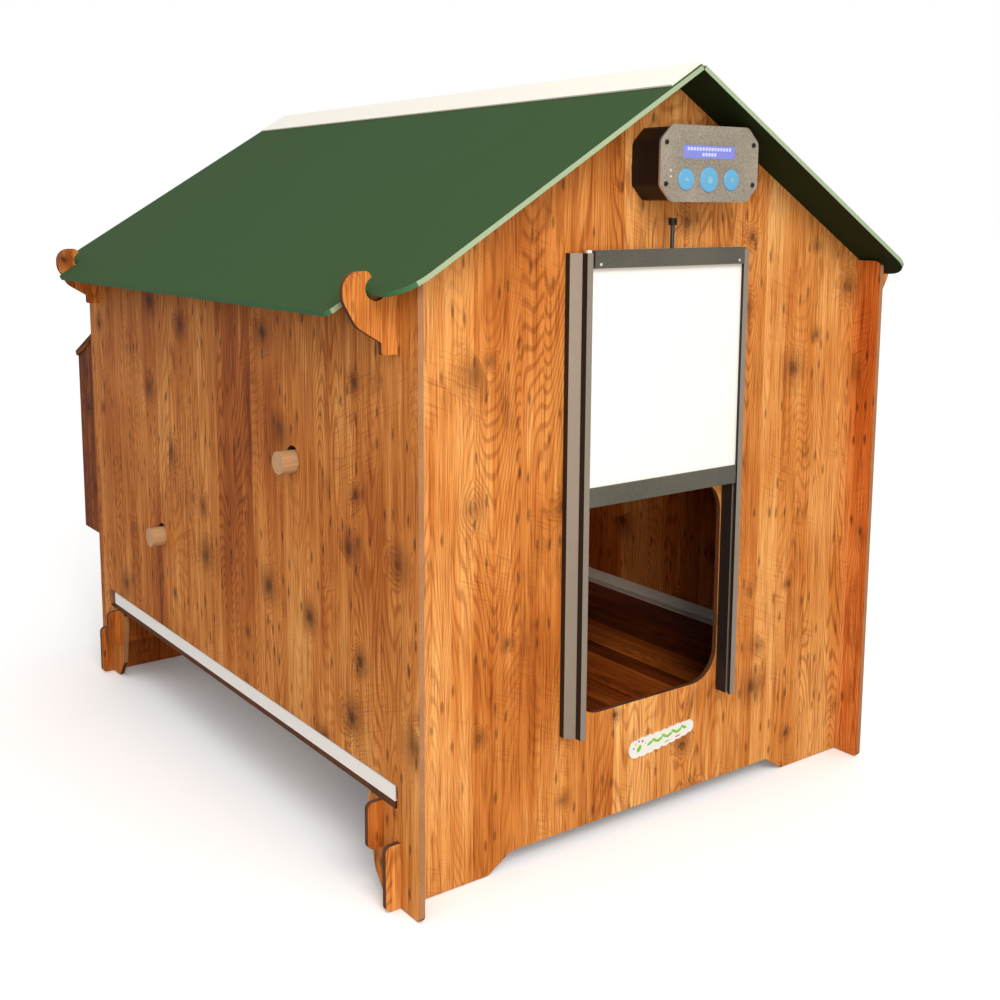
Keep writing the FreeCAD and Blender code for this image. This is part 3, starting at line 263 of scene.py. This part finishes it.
def newMaterial(name, **settings):
    material = bpy.data.materials.new(name)
    material.use_nodes = True
    tree = material.node_tree
    shader = tree.nodes["Principled BSDF"]
    for socket, value in settings.items():
        shader.inputs[socket.replace("_", " ")].default_value = value
    return material, tree, shader, addNode(tree, "ShaderNodeTexCoord").outputs["Object"]


def addBump(tree, shader, height, strength, distance):
    bump = addNode(tree, "ShaderNodeBump", {"Height": height, "Strength": strength, "Distance": distance})
    tree.links.new(bump.outputs[0], shader.inputs["Normal"])


def pineMaterial(name, across, along, seed, tone, knots, tint):
    material, tree, shader, place = newMaterial(name, Specular_IOR_Level=0.14)
    axes = addNode(tree, "ShaderNodeSeparateXYZ", {"Vector": place}).outputs
    letters = {"x": axes[0], "y": axes[1], "z": axes[2]}
    through = letters[({"x", "y", "z"} - {across, along}).pop()]
    pattern = addNode(tree, "ShaderNodeGroup", {}, node_tree=pinePrint)
    tree.links.new(combine(tree, letters[across], letters[along], times(tree, through, pine["through"])),
                   pattern.inputs["Vector"])
    for socket, value in (("Seed", seed), ("Tone", tone), ("Knots", knots)):
        pattern.inputs[socket].default_value = value
    tinted = blendColour(tree, 1.0, pattern.outputs["Color"], tint, "MULTIPLY")
    tree.links.new(tinted, shader.inputs["Base Color"])
    tree.links.new(plus(tree, pine["rough"], pattern.outputs["Gloss"]), shader.inputs["Roughness"])
    addBump(tree, shader, pattern.outputs["Height"], pine["bump"], pine["relief"])
    return material


def plainMaterial(name, colour, roughness=0.5, size=0.002, stretch=(1, 1, 1), contrast=0.12, bump=0.15,
                  depth=0.0002, **settings):
    material, tree, shader, place = newMaterial(name, **settings)
    group = addNode(tree, "ShaderNodeGroup", {}, node_tree=mottle)
    tree.links.new(place, group.inputs["Vector"])
    group.inputs["Size"].default_value = size
    group.inputs["Stretch"].default_value = stretch
    group.inputs["Contrast"].default_value = contrast
    shade = combine(tree, group.outputs["Shade"], group.outputs["Shade"], group.outputs["Shade"])
    tree.links.new(blendColour(tree, 1.0, colour, shade, "MULTIPLY"), shader.inputs["Base Color"])
    tree.links.new(plus(tree, roughness - 0.08, times(tree, group.outputs["Patch"], 0.16)),
                   shader.inputs["Roughness"])
    addBump(tree, shader, group.outputs["Height"], bump, depth)
    return material


def boardEdgeMaterial(name, colour, dark, flecks):   # the cut edge of a pressed board
    material, tree, shader, place = newMaterial(name, Specular_IOR_Level=0.15, Roughness=0.75)
    fleck = noise(tree, place, 520.0, 3.0, 0.7)
    cloud = noise(tree, place, 18.0, 3.0, 0.6)
    worn = blendColour(tree, softStep(tree, fleck, 0.60, 0.36, 0.0, flecks), colour, dark)
    worn = blendColour(tree, softStep(tree, cloud, 0.35, 0.75, 0.0, 0.4), worn, dark)
    tree.links.new(worn, shader.inputs["Base Color"])
    addBump(tree, shader, fleck, 0.4, 0.0004)
    return material


perch = {"pale": (0.62, 0.385, 0.20), "deep": (0.50, 0.285, 0.135), "ringBrown": (0.30, 0.145, 0.055),
         "fibreBrown": (0.34, 0.17, 0.07), "rings": 3200.0, "stray": 0.006, "offCentre": 0.004}


def perchMaterial(name, middle):   # pale dowel; rings about its own middle show on the ends
    material, tree, shader, place = newMaterial(name, Specular_IOR_Level=0.2)
    x, y, z = addNode(tree, "ShaderNodeSeparateXYZ", {"Vector": place}).outputs[:3]
    offY = calc(tree, "SUBTRACT", y, middle.y)
    offZ = calc(tree, "SUBTRACT", z, middle.z + perch["offCentre"])
    fromHeart = calc(tree, "SQRT", plus(tree, times(tree, offY, offY), times(tree, offZ, offZ)))

    def stretched(overX, overRest, *levels):
        along = combine(tree, times(tree, x, overX), times(tree, y, overRest), times(tree, z, overRest))
        return noise(tree, along, 1.0, *levels)

    stray = stretched(6.0, 90.0)
    fibre = stretched(14.0, 900.0, 3.0, 0.6)
    wavy = plus(tree, fromHeart, times(tree, stray, perch["stray"]))
    ring = calc(tree, "SINE", times(tree, wavy, perch["rings"]))
    colour = blendColour(tree, stray, perch["pale"], perch["deep"])
    colour = blendColour(tree, softStep(tree, ring, 0.1, 1.0, 0.0, 0.30), colour, perch["ringBrown"])
    colour = blendColour(tree, softStep(tree, fibre, 0.52, 0.3, 0.0, 0.35), colour, perch["fibreBrown"])
    tree.links.new(colour, shader.inputs["Base Color"])
    tree.links.new(plus(tree, 0.5, times(tree, fibre, 0.2)), shader.inputs["Roughness"])
    addBump(tree, shader, fibre, 0.3, 0.0003)
    return material


facing = 0.93   # a face counts as looking some way above this cosine


def dress(node, plain, *special):   # special rows: material, the way its faces look, and if both ways count
    piece = parts[node]
    piece.data.materials.clear()
    for material in (plain, *(row[0] for row in special)):
        piece.data.materials.append(material)
    rows = [(Vector(way).normalized(), both) for material, way, both in special]
    for face in piece.data.polygons:
        face.material_index = 0
        for place, (way, both) in enumerate(rows):
            look = face.normal.dot(way)
            if (abs(look) if both else look) > facing:
                face.material_index = place + 1
                break


# boards: across, along the grain, seed, thickness direction, tone, strength of the knots
# one cut-edge colour in two copies: the pale one, on the walls' front and back edges, is lighter as painted
# light; the dark one, on all other edges, is darker partly for the machined cut and partly as painted shade
paleLitPlyEdge = boardEdgeMaterial("paleBoardEdgePaintedLight", (0.40, 0.195, 0.092), (0.23, 0.095, 0.038), 0.35)
darkMachinedShadedPlyEdge = boardEdgeMaterial("darkBoardEdgeMachinedAndShaded", (0.135, 0.050, 0.022), (0.055, 0.019, 0.009), 0.6)
lidSlope = math.radians(24)
untinted = (1, 1, 1)
innerPaintedBounceTint = (1.0, 0.74, 0.60)   # the walls' inner sides are tinted redder, and made lighter, than their outer sides, as painted warm light bounced round the inside
innerPaintedBounceTone, innerSeed = 0.14, 20
trayTint = (1.0, 0.84, 0.74)
boards = {
    "front_gable": ("x", "z", 1.0, (0, 1, 0), 0.16, 0.8),
    "rear_gable": ("x", "z", 2.7, (0, 1, 0), 0.02, 1.0),
    "left_wall": ("y", "z", 4.1, (1, 0, 0), 0.0, 1.0),
    "right_wall": ("y", "z", 5.6, (1, 0, 0), 0.0, 1.0),
    "front_floor_beam": ("x", "z", 6.2, (0, 1, 0), -0.2, 0.8),
    "rear_floor_beam": ("x", "z", 7.9, (0, 1, 0), -0.2, 0.8),
    "tray_floor": ("x", "y", 8.3, (0, 0, 1), -0.32, 0.6),
    "nest_side_left": ("y", "z", 9.4, (1, 0, 0), -0.26, 1.0),
    "nest_side_right": ("y", "z", 10.8, (1, 0, 0), -0.05, 1.0),
    "nest_floor": ("x", "y", 11.1, (0, 0, 1), 0.0, 1.0),
    "nest_back": ("x", "z", 12.6, (0, 1, 0), 0.0, 1.0),
    "nest_lid": ("x", "y", 13.2, (0, math.sin(lidSlope), math.cos(lidSlope)), -0.05, 0.8),
}
for node, (across, along, seed, thickness, tone, knots) in boards.items():
    faceTint = trayTint if node == "tray_floor" else untinted
    face = pineMaterial(node + "Face", across, along, seed, tone, knots, faceTint)
    if node.endswith("_wall"):
        inward = (-1, 0, 0) if node == "right_wall" else (1, 0, 0)
        # the inside copy of the pine carries this painted bounce light
        inner = pineMaterial(node + "Inside", across, along, seed + innerSeed, tone + innerPaintedBounceTone, knots,
                             innerPaintedBounceTint)
        dress(node, darkMachinedShadedPlyEdge, (inner, inward, False), (face, thickness, True),
              (paleLitPlyEdge, (0, 1, 0), True))
    else:
        dress(node, darkMachinedShadedPlyEdge, (face, thickness, True))
print("boards dressed")

# roof: painted boards; the cut ends are pale, and lighter still as painted light; the underside is darker as
# painted shade
roof = {"slope": math.radians(31), "top": (0.040, 0.080, 0.030), "under": (0.020, 0.030, 0.010),
        "eave": (0.052, 0.150, 0.062), "verge": (0.32, 0.41, 0.26),
        "vergeDeep": 0.002}   # end faces further in than this are the hook notches
roofTop = plainMaterial("roofGreen", roof["top"], 0.75, 0.0012, contrast=0.16, bump=0.3,
                        Specular_IOR_Level=0.03)
# the underside is the top's green darkened as painted shade
roofUnderPaintedShade = plainMaterial("roofUndersidePaintedShade", roof["under"], 0.7, 0.0015, contrast=0.3, Specular_IOR_Level=0.05)
roofEave = plainMaterial("roofEave", roof["eave"], 0.6, 0.0015, contrast=0.3, Specular_IOR_Level=0.15)
# the verge green is the pale cut end, made lighter still as painted light
roofVergeCutAndLit = plainMaterial("roofVergeCutAndLit", roof["verge"], 0.65, 0.004, contrast=0.3, Specular_IOR_Level=0.15)
for node, side in (("roof_left", -1), ("roof_right", 1)):
    up = Vector((side * math.sin(roof["slope"]), 0, math.cos(roof["slope"])))
    dress(node, roofEave, (roofTop, up, False), (roofUnderPaintedShade, -up, False), (roofVergeCutAndLit, (0, 1, 0), True))
    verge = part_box(node)[1].y - roof["vergeDeep"]
    for face in parts[node].data.polygons:   # the hook notches are as dark as the eave
        if face.material_index == 3 and abs(face.center.y) < verge:
            face.material_index = 0
dress("ridge_cap", plainMaterial("ridgeCream", (0.80, 0.755, 0.66), 0.45, 0.003, contrast=0.06))

# perches and rails
for node in ("perch_front", "perch_rear"):
    low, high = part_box(node)
    dress(node, perchMaterial(node + "Wood", (low + high) / 2))
railFace = plainMaterial("railFace", (0.25, 0.21, 0.165), 0.5, 0.0006, (1, 1, 0.03), 0.3, Metallic=0.2)
# the rails' side faces are near black as painted shade and a painted reflection of the dark wood
railPaintedShade = plainMaterial("railPaintedShade", (0.022, 0.016, 0.013), 0.5, 0.0008, (1, 1, 0.05), 0.3,
                          Specular_IOR_Level=0.2)
for node in ("rail_left", "rail_right"):
    dress(node, railFace, (railPaintedShade, (1, 0, 0), True))
plateEdge = plainMaterial("plateEdge", (0.55, 0.53, 0.48), 0.35, 0.001, Metallic=0.8)
plateFace = plainMaterial("plateFace", (0.270, 0.235, 0.185), 0.55, 0.0013, contrast=2.2, bump=0.25,
                          Metallic=0.1, Specular_IOR_Level=0.3)
dress("control_faceplate", plateEdge, (plateFace, (0, 1, 0), True))

# the rest, one finish each
finishes = {
    "trim": plainMaterial("whiteTrim", (0.88, 0.86, 0.82), 0.4, 0.004, contrast=0.06),
    "panel": plainMaterial("doorWhite", (0.86, 0.85, 0.815), 0.4, 0.004, contrast=0.03, bump=0.05),
    "band": plainMaterial("doorBand", (0.098, 0.092, 0.072), 0.5, 0.0011, contrast=1.6, Metallic=0.2,
                          Specular_IOR_Level=0.3),
    "rivet": plainMaterial("rivetMetal", (0.72, 0.70, 0.66), 0.3, 0.001, Metallic=0.7),
    "dark": plainMaterial("darkMetal", (0.045, 0.047, 0.045), 0.4, 0.001, Metallic=0.6),
    "black": plainMaterial("blackPlastic", (0.009, 0.006, 0.005), 0.45, 0.0007, contrast=0.4, bump=0.3,
                           Specular_IOR_Level=0.25),
    "blackScrew": plainMaterial("blackScrew", (0.010, 0.010, 0.010), 0.4, 0.001, Specular_IOR_Level=0.3),
    "display": plainMaterial("displayBlue", (0.15, 0.17, 0.48), 0.25, 0.0022, contrast=0.6,
                             Emission_Color=(0.22, 0.25, 0.75, 1), Emission_Strength=0.22),
    "displayMark": plainMaterial("displayMark", (0.45, 0.48, 0.80), 0.3, 0.002,
                                 Emission_Color=(0.6, 0.66, 1.0, 1), Emission_Strength=0.15),
    "button": plainMaterial("buttonBlue", (0.100, 0.345, 0.565), 0.4, 0.0012, contrast=0.25),
    "buttonMark": plainMaterial("buttonMark", (0.20, 0.42, 0.55), 0.4, 0.0012, contrast=0.3),
    "lamp": plainMaterial("lampClear", (0.60, 0.56, 0.48), 0.25, 0.002),
    "plaque": plainMaterial("plaqueWhite", (0.76, 0.76, 0.71), 0.3, 0.002, contrast=0.04),
    "leaf": plainMaterial("leafGreen", (0.22, 0.50, 0.035), 0.35, 0.002, contrast=0.2),
    "yellow": plainMaterial("dotYellow", (0.85, 0.50, 0.05), 0.35, 0.002),
    "blue": plainMaterial("dotBlue", (0.06, 0.30, 0.62), 0.35, 0.002),
    "red": plainMaterial("dotRed", (0.62, 0.05, 0.03), 0.35, 0.002),
    "board": plainMaterial("circuitGreen", (0.02, 0.13, 0.05), 0.4, 0.0015, contrast=0.5),
    "steel": plainMaterial("zincSteel", (0.55, 0.55, 0.53), 0.32, 0.0012, contrast=0.25, Metallic=1.0),
    "nylon": plainMaterial("spoolNylon", (0.70, 0.68, 0.62), 0.4, 0.002),
    "cell": plainMaterial("cellWrap", (0.05, 0.10, 0.22), 0.3, 0.002),
}
wearers = {
    "trim": ("tray_rim_left", "tray_rim_right"), "panel": ("door_panel",),
    "band": ("door_top_band", "door_bottom_band"), "rivet": ("door_rivets",),
    "dark": ("door_lift_stem",), "blackScrew": ("faceplate_screws",),
    "black": ("control_housing", "door_lift_knob", "cord_eyelet", "battery_holder", "button_switches"),
    "display": ("display_window",), "button": ("button_left", "button_middle", "button_right"),
    "lamp": ("indicator_lamps",), "plaque": ("front_plaque",), "board": ("circuit_board",),
    "steel": ("rail_screws", "box_mount_screws", "gear_motor", "hinge_fixed_leaves", "hinge_lid_leaves",
              "hinge_pins"),
    "nylon": ("cord_spool",), "cell": ("battery_cells",),
}
for finish, names in wearers.items():
    for name in names:
        dress(name, finishes[finish])
print("fittings dressed")


# helpers for new pieces

upright = 0.9   # a face counts as level when its normal is this upright


def selectOnly(*pieces):   # the first becomes the active one
    bpy.ops.object.select_all(action="DESELECT")
    for piece in pieces:
        piece.select_set(True)
    bpy.context.view_layer.objects.active = pieces[0]


def applyAll():
    bpy.ops.object.transform_apply(location=True, rotation=True, scale=True)


def pickFaces(piece, test):   # leaves edit mode on, with the faces that pass the test selected
    selectOnly(piece)
    bpy.ops.object.mode_set(mode="EDIT")
    bpy.ops.mesh.select_mode(type="FACE")
    bpy.ops.mesh.select_all(action="DESELECT")
    bpy.ops.object.mode_set(mode="OBJECT")
    for face in piece.data.polygons:
        face.select = test(face)
    bpy.ops.object.mode_set(mode="EDIT")


def roundStart(radius, height, sides=48):   # a disc that stands on the ground at the origin
    bpy.ops.object.select_all(action="DESELECT")
    bpy.ops.mesh.primitive_cylinder_add(vertices=sides, radius=radius, depth=height,
                                        location=(0, 0, height / 2))
    applyAll()
    return bpy.context.object


def crown(piece, *steps):   # each step insets the top face and lifts it
    pickFaces(piece, lambda face: face.normal.z > upright)
    for inset, lift in steps:
        bpy.ops.mesh.inset(thickness=inset)
        bpy.ops.transform.translate(value=(0, 0, lift))
    bpy.ops.object.mode_set(mode="OBJECT")


def cutOut(piece, tool, how="DIFFERENCE"):
    selectOnly(piece)
    modifier = piece.modifiers.new("cut", "BOOLEAN")
    modifier.operation = how
    modifier.solver = "EXACT"
    modifier.object = tool
    bpy.ops.object.modifier_apply(modifier=modifier.name)
    bpy.data.objects.remove(tool)


def faceOut(piece, place, turn=0.0, back=False):   # its top looks at -Y, or +Y, its foot at that place
    piece.rotation_euler = (math.radians(-90 if back else 90), turn, 0)
    piece.location = place
    selectOnly(piece)
    applyAll()


def joinPieces(made):
    selectOnly(*made)
    bpy.ops.object.join()
    return made[0]


def copiesAt(piece, places, back=False):   # one at each of the places, as one piece
    made = []
    for place in places:
        copy = piece.copy()
        copy.data = piece.data.copy()
        bpy.context.collection.objects.link(copy)
        faceOut(copy, place, back=back)
        made.append(copy)
    bpy.data.objects.remove(piece)
    return joinPieces(made)


def settle(piece, name, body, slot, *nodes, finish=None):   # named, shaded, dressed and put on its body
    piece.name = name
    piece.data.name = name
    selectOnly(piece)
    bpy.ops.object.shade_smooth_by_angle(angle=math.radians(32))
    if finish:
        piece.data.materials.clear()
        piece.data.materials.append(finishes[finish])
    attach(piece, body)
    if nodes:
        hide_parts(*nodes)


# push buttons: a soft rim, a shallow crown and a raised mark, a ring between two triangles
button = {"rim": 0.0009, "rimFall": 0.0007, "crown": 0.0035, "crownRise": 0.0003, "sides": 72,
          "markRound": 0.0048, "markProud": 0.0004, "markWall": 0.0011, "markSunk": 0.9,
          "marks": {"left": (3, 0.0), "middle": (40, 0.0), "right": (3, math.pi)}}   # corners, turn
for side, (corners, turn) in button["marks"].items():
    low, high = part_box("button_" + side)
    middle = (low + high) / 2
    crownTop = low.y + button["markProud"]
    height = high.y - crownTop - button["rimFall"] - button["crownRise"]
    cap = roundStart((high.x - low.x) / 2, height, button["sides"])
    crown(cap, (button["rim"], button["rimFall"]), (button["crown"], button["crownRise"]))
    faceOut(cap, (middle.x, high.y, middle.z))
    settle(cap, "button_cap_" + side, side + "_button", "button_blue", "button_" + side, finish="button")
    mark = roundStart(button["markRound"], 2 * button["markProud"], corners)
    crown(mark, (button["markWall"], -button["markSunk"] * button["markProud"]))
    faceOut(mark, (middle.x, crownTop + button["markProud"], middle.z), turn)
    settle(mark, "button_mark_" + side, side + "_button", "button_blue", finish="buttonMark")
print("buttons made")

# socket screws of the faceplate
faceScrew = {"round": 0.003, "high": 0.0016, "socket": 0.0016, "socketDeep": 0.0009, "chamfer": 0.0004}
low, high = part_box("faceplate_screws")
head = roundStart(faceScrew["round"], faceScrew["high"] - faceScrew["chamfer"])
crown(head, (faceScrew["chamfer"], faceScrew["chamfer"]))
socket = roundStart(faceScrew["socket"], faceScrew["high"], 6)
socket.location.z = faceScrew["high"] - faceScrew["socketDeep"]
cutOut(head, socket)
reach = faceScrew["round"]
settle(copiesAt(head, [(x, low.y + faceScrew["high"], z) for x in (low.x + reach, high.x - reach)
                       for z in (low.z + reach, high.z - reach)]),
       "faceplate_screw_heads", "shell", "black_screw", "faceplate_screws", finish="blackScrew")

# cross-head screws that hold the rails from inside
railScrew = {"round": 0.004, "high": 0.002, "foot": 0.4,   # foot: the upright part's share of the height
             "dome": ((0.0006, 0.3), (0.0010, 0.2), (0.0010, 0.1)),   # inset, share of the height
             "crossLong": 0.0045, "crossWide": 0.0009, "crossDeep": 0.0011}
low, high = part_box("rail_screws")
head = roundStart(railScrew["round"], railScrew["foot"] * railScrew["high"])
crown(head, *((inset, share * railScrew["high"]) for inset, share in railScrew["dome"]))
for turn in (0, math.pi / 2):
    bpy.ops.object.select_all(action="DESELECT")
    bpy.ops.mesh.primitive_cube_add(size=1.0, location=(0, 0, railScrew["high"]), rotation=(0, 0, turn))
    crossCut = bpy.context.object
    crossCut.scale = (railScrew["crossLong"], railScrew["crossWide"], 2 * railScrew["crossDeep"])
    applyAll()
    cutOut(head, crossCut)
reach = railScrew["round"]
seat = high.y - railScrew["high"]
settle(copiesAt(head, [(x, seat, z) for x in (low.x + reach, high.x - reach)
                       for z in (low.z + reach, (low.z + high.z) / 2, high.z - reach)], back=True),
       "rail_screw_heads", "shell", "zinc_screw", "rail_screws", finish="steel")

# rivets on the door's top band: domed heads in front, flat tails behind the panel
rivet = {"round": 0.002, "high": 0.0008, "tailHigh": 0.0008, "sides": 32, "foot": 0.3,
         "dome": ((0.0004, 0.35), (0.0006, 0.25), (0.0006, 0.1))}   # inset, share of the height
low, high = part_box("door_rivets")
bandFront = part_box("door_top_band")[0].y
dome = roundStart(rivet["round"], rivet["foot"] * rivet["high"], rivet["sides"])
crown(dome, *((inset, share * rivet["high"]) for inset, share in rivet["dome"]))
tail = roundStart(rivet["round"], rivet["tailHigh"], rivet["sides"])
reach = rivet["round"]
ends = (low.x + reach, high.x - reach)
domes = copiesAt(dome, [(x, bandFront, low.z + reach) for x in ends])
tails = copiesAt(tail, [(x, high.y - rivet["tailHigh"], low.z + reach) for x in ends], back=True)
settle(joinPieces([domes, tails]), "door_rivet_domes", "door", "rivet", "door_rivets", finish="rivet")
print("screws and rivets made")

# blank cells on the display, in two rows
readout = {"wide": 0.0036, "high": 0.0040, "proud": 0.0002, "pitch": 0.0052, "rowStep": 0.0066,
           "topCells": 15, "lowCells": 5, "sunk": 0.0004, "edge": 0.0005}
low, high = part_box("display_window")
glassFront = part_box("control_faceplate")[0].y + readout["sunk"]
middle = (low + high) / 2
cell = roundStart(readout["wide"] / math.sqrt(2), 0.5 * readout["proud"], 4)
cell.rotation_euler.z = math.pi / 4
applyAll()
cell.scale.y = readout["high"] / readout["wide"]
applyAll()
crown(cell, (readout["edge"], 0.5 * readout["proud"]))
places = []
for row, count in ((0.5, readout["topCells"]), (-0.5, readout["lowCells"])):
    start = middle.x - (count - 1) / 2 * readout["pitch"]
    places += [(start + step * readout["pitch"], glassFront, middle.z + row * readout["rowStep"])
               for step in range(count)]
settle(copiesAt(cell, places), "display_cells", "shell", "display", finish="displayMark")

# plaque: a tag of joined lobes with generic leaves, dots and stripes; places and sizes in mm
plaque = {
    "lobes": ((-48, -3, 12.5), (-35, -2, 13.5), (-22, -1, 13), (-8, 0, 12.5), (6, 1, 12.2), (19, 2.5, 11.8),
              (31, 4, 11.2), (42, 5, 10.3), (51, 6.5, 9)),    # aside, up, radius
    "lobeSides": 56, "sheet": 1.6, "border": 1.1, "step": 0.3, "sunk": 0.2,
    "print": 0.3, "printSides": 24, "printEdge": 0.2, "printRise": 0.1,
    "leaves": ((-22, 0, 25), (-13, 2, -25), (-4, 1, 25), (5, 4, -25), (14, 3, 25), (23, 6, -25), (32, 5, 25),
               (41, 8, -25)),                   # aside, up, tilt
    "leafLong": 5.8, "leafWide": 2.1, "bigLeaf": (-42, -3, 5.5, 3.2, 55),   # aside, up, half sizes, tilt
    "dots": (("yellow", -48, 4, 1.7), ("blue", -42, 7, 1.6), ("red", -36, 6, 1.7), ("blue", -52, -1, 1.5),
             ("yellow", -31, 2, 1.4)),
    "stripes": (("leaf", 10, -5.2), ("red", 30, -2.6)), "stripeLong": 5.0, "stripeWide": 0.8, "stripeTilt": 9,
}
mm = 0.001
low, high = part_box("front_plaque")
middle = (low + high) / 2
tag = None
for aside, up, radius in plaque["lobes"]:
    lobe = roundStart(radius * mm, plaque["sheet"] * mm, plaque["lobeSides"])
    lobe.location += Vector((aside, up, 0)) * mm
    applyAll()
    if tag:
        cutOut(tag, lobe, "UNION")
    else:
        tag = lobe
pickFaces(tag, lambda face: abs(face.normal.z) > upright)
bpy.ops.mesh.dissolve_limited(angle_limit=math.radians(1))
bpy.ops.object.mode_set(mode="OBJECT")
crown(tag, (plaque["border"] * mm, 0.0), (plaque["step"] * mm, -plaque["sunk"] * mm))
faceOut(tag, (middle.x, high.y, middle.z))
settle(tag, "plaque_tag", "shell", "plaque", "front_plaque", finish="plaque")


def printMark(finish, aside, up, halfLong, halfWide, tilt=0.0):
    mark = roundStart(mm, plaque["print"] * mm, plaque["printSides"])
    mark.scale = (halfLong, halfWide, 1)
    applyAll()
    crown(mark, (plaque["printEdge"] * mm, plaque["printRise"] * mm))
    mark.data.materials.append(finishes[finish])
    mark.rotation_euler.z = math.radians(tilt)
    applyAll()
    sunkFace = high.y - (plaque["sheet"] - 1.5 * plaque["sunk"]) * mm
    faceOut(mark, (middle.x + aside * mm, sunkFace, middle.z + up * mm))
    return mark


marks = [printMark("leaf", aside, up, plaque["leafLong"], plaque["leafWide"], tilt)
         for aside, up, tilt in plaque["leaves"]]
marks += [printMark("leaf", *plaque["bigLeaf"])]
marks += [printMark(finish, aside, up, radius, radius) for finish, aside, up, radius in plaque["dots"]]
marks += [printMark(finish, aside, up, plaque["stripeLong"], plaque["stripeWide"], plaque["stripeTilt"])
          for finish, aside, up in plaque["stripes"]]
settle(joinPieces(marks), "plaque_print", "shell", "plaque")
print("display and plaque made")

# floor, light and camera: the floor shows brighter than the light it throws back
stage = {"floorSize": 60.0, "floorDown": 0.001, "floorColour": (0.97, 0.97, 0.97),
         "floorPatch": (0.96, 0.96, 0.96), "bounceColour": (0.36, 0.35, 0.34), "floorGlow": 0.07,
         "world": 0.98, "backdrop": 1.0, "keyWatts": 66.0, "keySize": 1.6, "keyPlace": (-1.0, -3.2, 2.7),
         "keyAim": (0.0, 0.0, 0.45), "fillWatts": 13.0, "fillSize": 0.5, "fillPlace": (-1.15, -2.3, 0.62),
         "fillAim": (0.10, 0.0, 0.33), "fillColour": (1.0, 0.78, 0.60)}
bpy.ops.object.select_all(action="DESELECT")
bpy.ops.mesh.primitive_plane_add(size=stage["floorSize"], location=(0, 0, -stage["floorDown"]))
floor = bpy.context.object
floor.name = "floor"
floorMaterial, tree, shader, place = newMaterial("floorPale", Roughness=0.9, Specular_IOR_Level=0.1)
seen = addNode(tree, "ShaderNodeLightPath").outputs["Is Camera Ray"]
look = blendColour(tree, noise(tree, place, 3.0), stage["floorColour"], stage["floorPatch"])
tree.links.new(blendColour(tree, seen, stage["bounceColour"], look), shader.inputs["Base Color"])
shader.inputs["Emission Color"].default_value = (1, 1, 1, 1)
tree.links.new(times(tree, seen, stage["floorGlow"]), shader.inputs["Emission Strength"])
floor.data.materials.append(floorMaterial)

world = bpy.data.worlds.new("studio")
bpy.context.scene.world = world
world.use_nodes = True
sky = world.node_tree
seen = addNode(sky, "ShaderNodeLightPath").outputs["Is Camera Ray"]
backdrop = sky.nodes["Background"]
backdrop.inputs["Color"].default_value = (1, 1, 1, 1)
sky.links.new(plus(sky, stage["world"], times(sky, seen, stage["backdrop"] - stage["world"])),
              backdrop.inputs["Strength"])


def addLight(name, place, watts, size, target):
    bpy.ops.object.light_add(type="AREA", location=place)
    light = bpy.context.object
    light.name = name
    light.data.energy = watts
    light.data.size = size
    light.rotation_euler = (Vector(target) - Vector(place)).to_track_quat("-Z", "Y").to_euler()
    return light


addLight("keyLight", stage["keyPlace"], stage["keyWatts"], stage["keySize"], stage["keyAim"])
fill = addLight("fillLight", stage["fillPlace"], stage["fillWatts"], stage["fillSize"], stage["fillAim"])
fill.data.color = stage["fillColour"]

view = {"place": (-1.14904, -1.72911, 0.82137), "turn": (81.571, 0.0, -34.918), "focal": 45.493,
        "sensor": 36.0, "shiftX": 0.04755, "shiftY": -0.10322}
bpy.ops.object.camera_add(location=view["place"], rotation=[math.radians(angle) for angle in view["turn"]])
camera = bpy.context.object
camera.name = "viewCamera"
camera.data.lens = view["focal"]
camera.data.sensor_width = view["sensor"]
camera.data.shift_x = view["shiftX"]
camera.data.shift_y = view["shiftY"]
bpy.context.scene.camera = camera
bpy.context.scene.view_settings.view_transform = "Standard"
print("light and camera set")
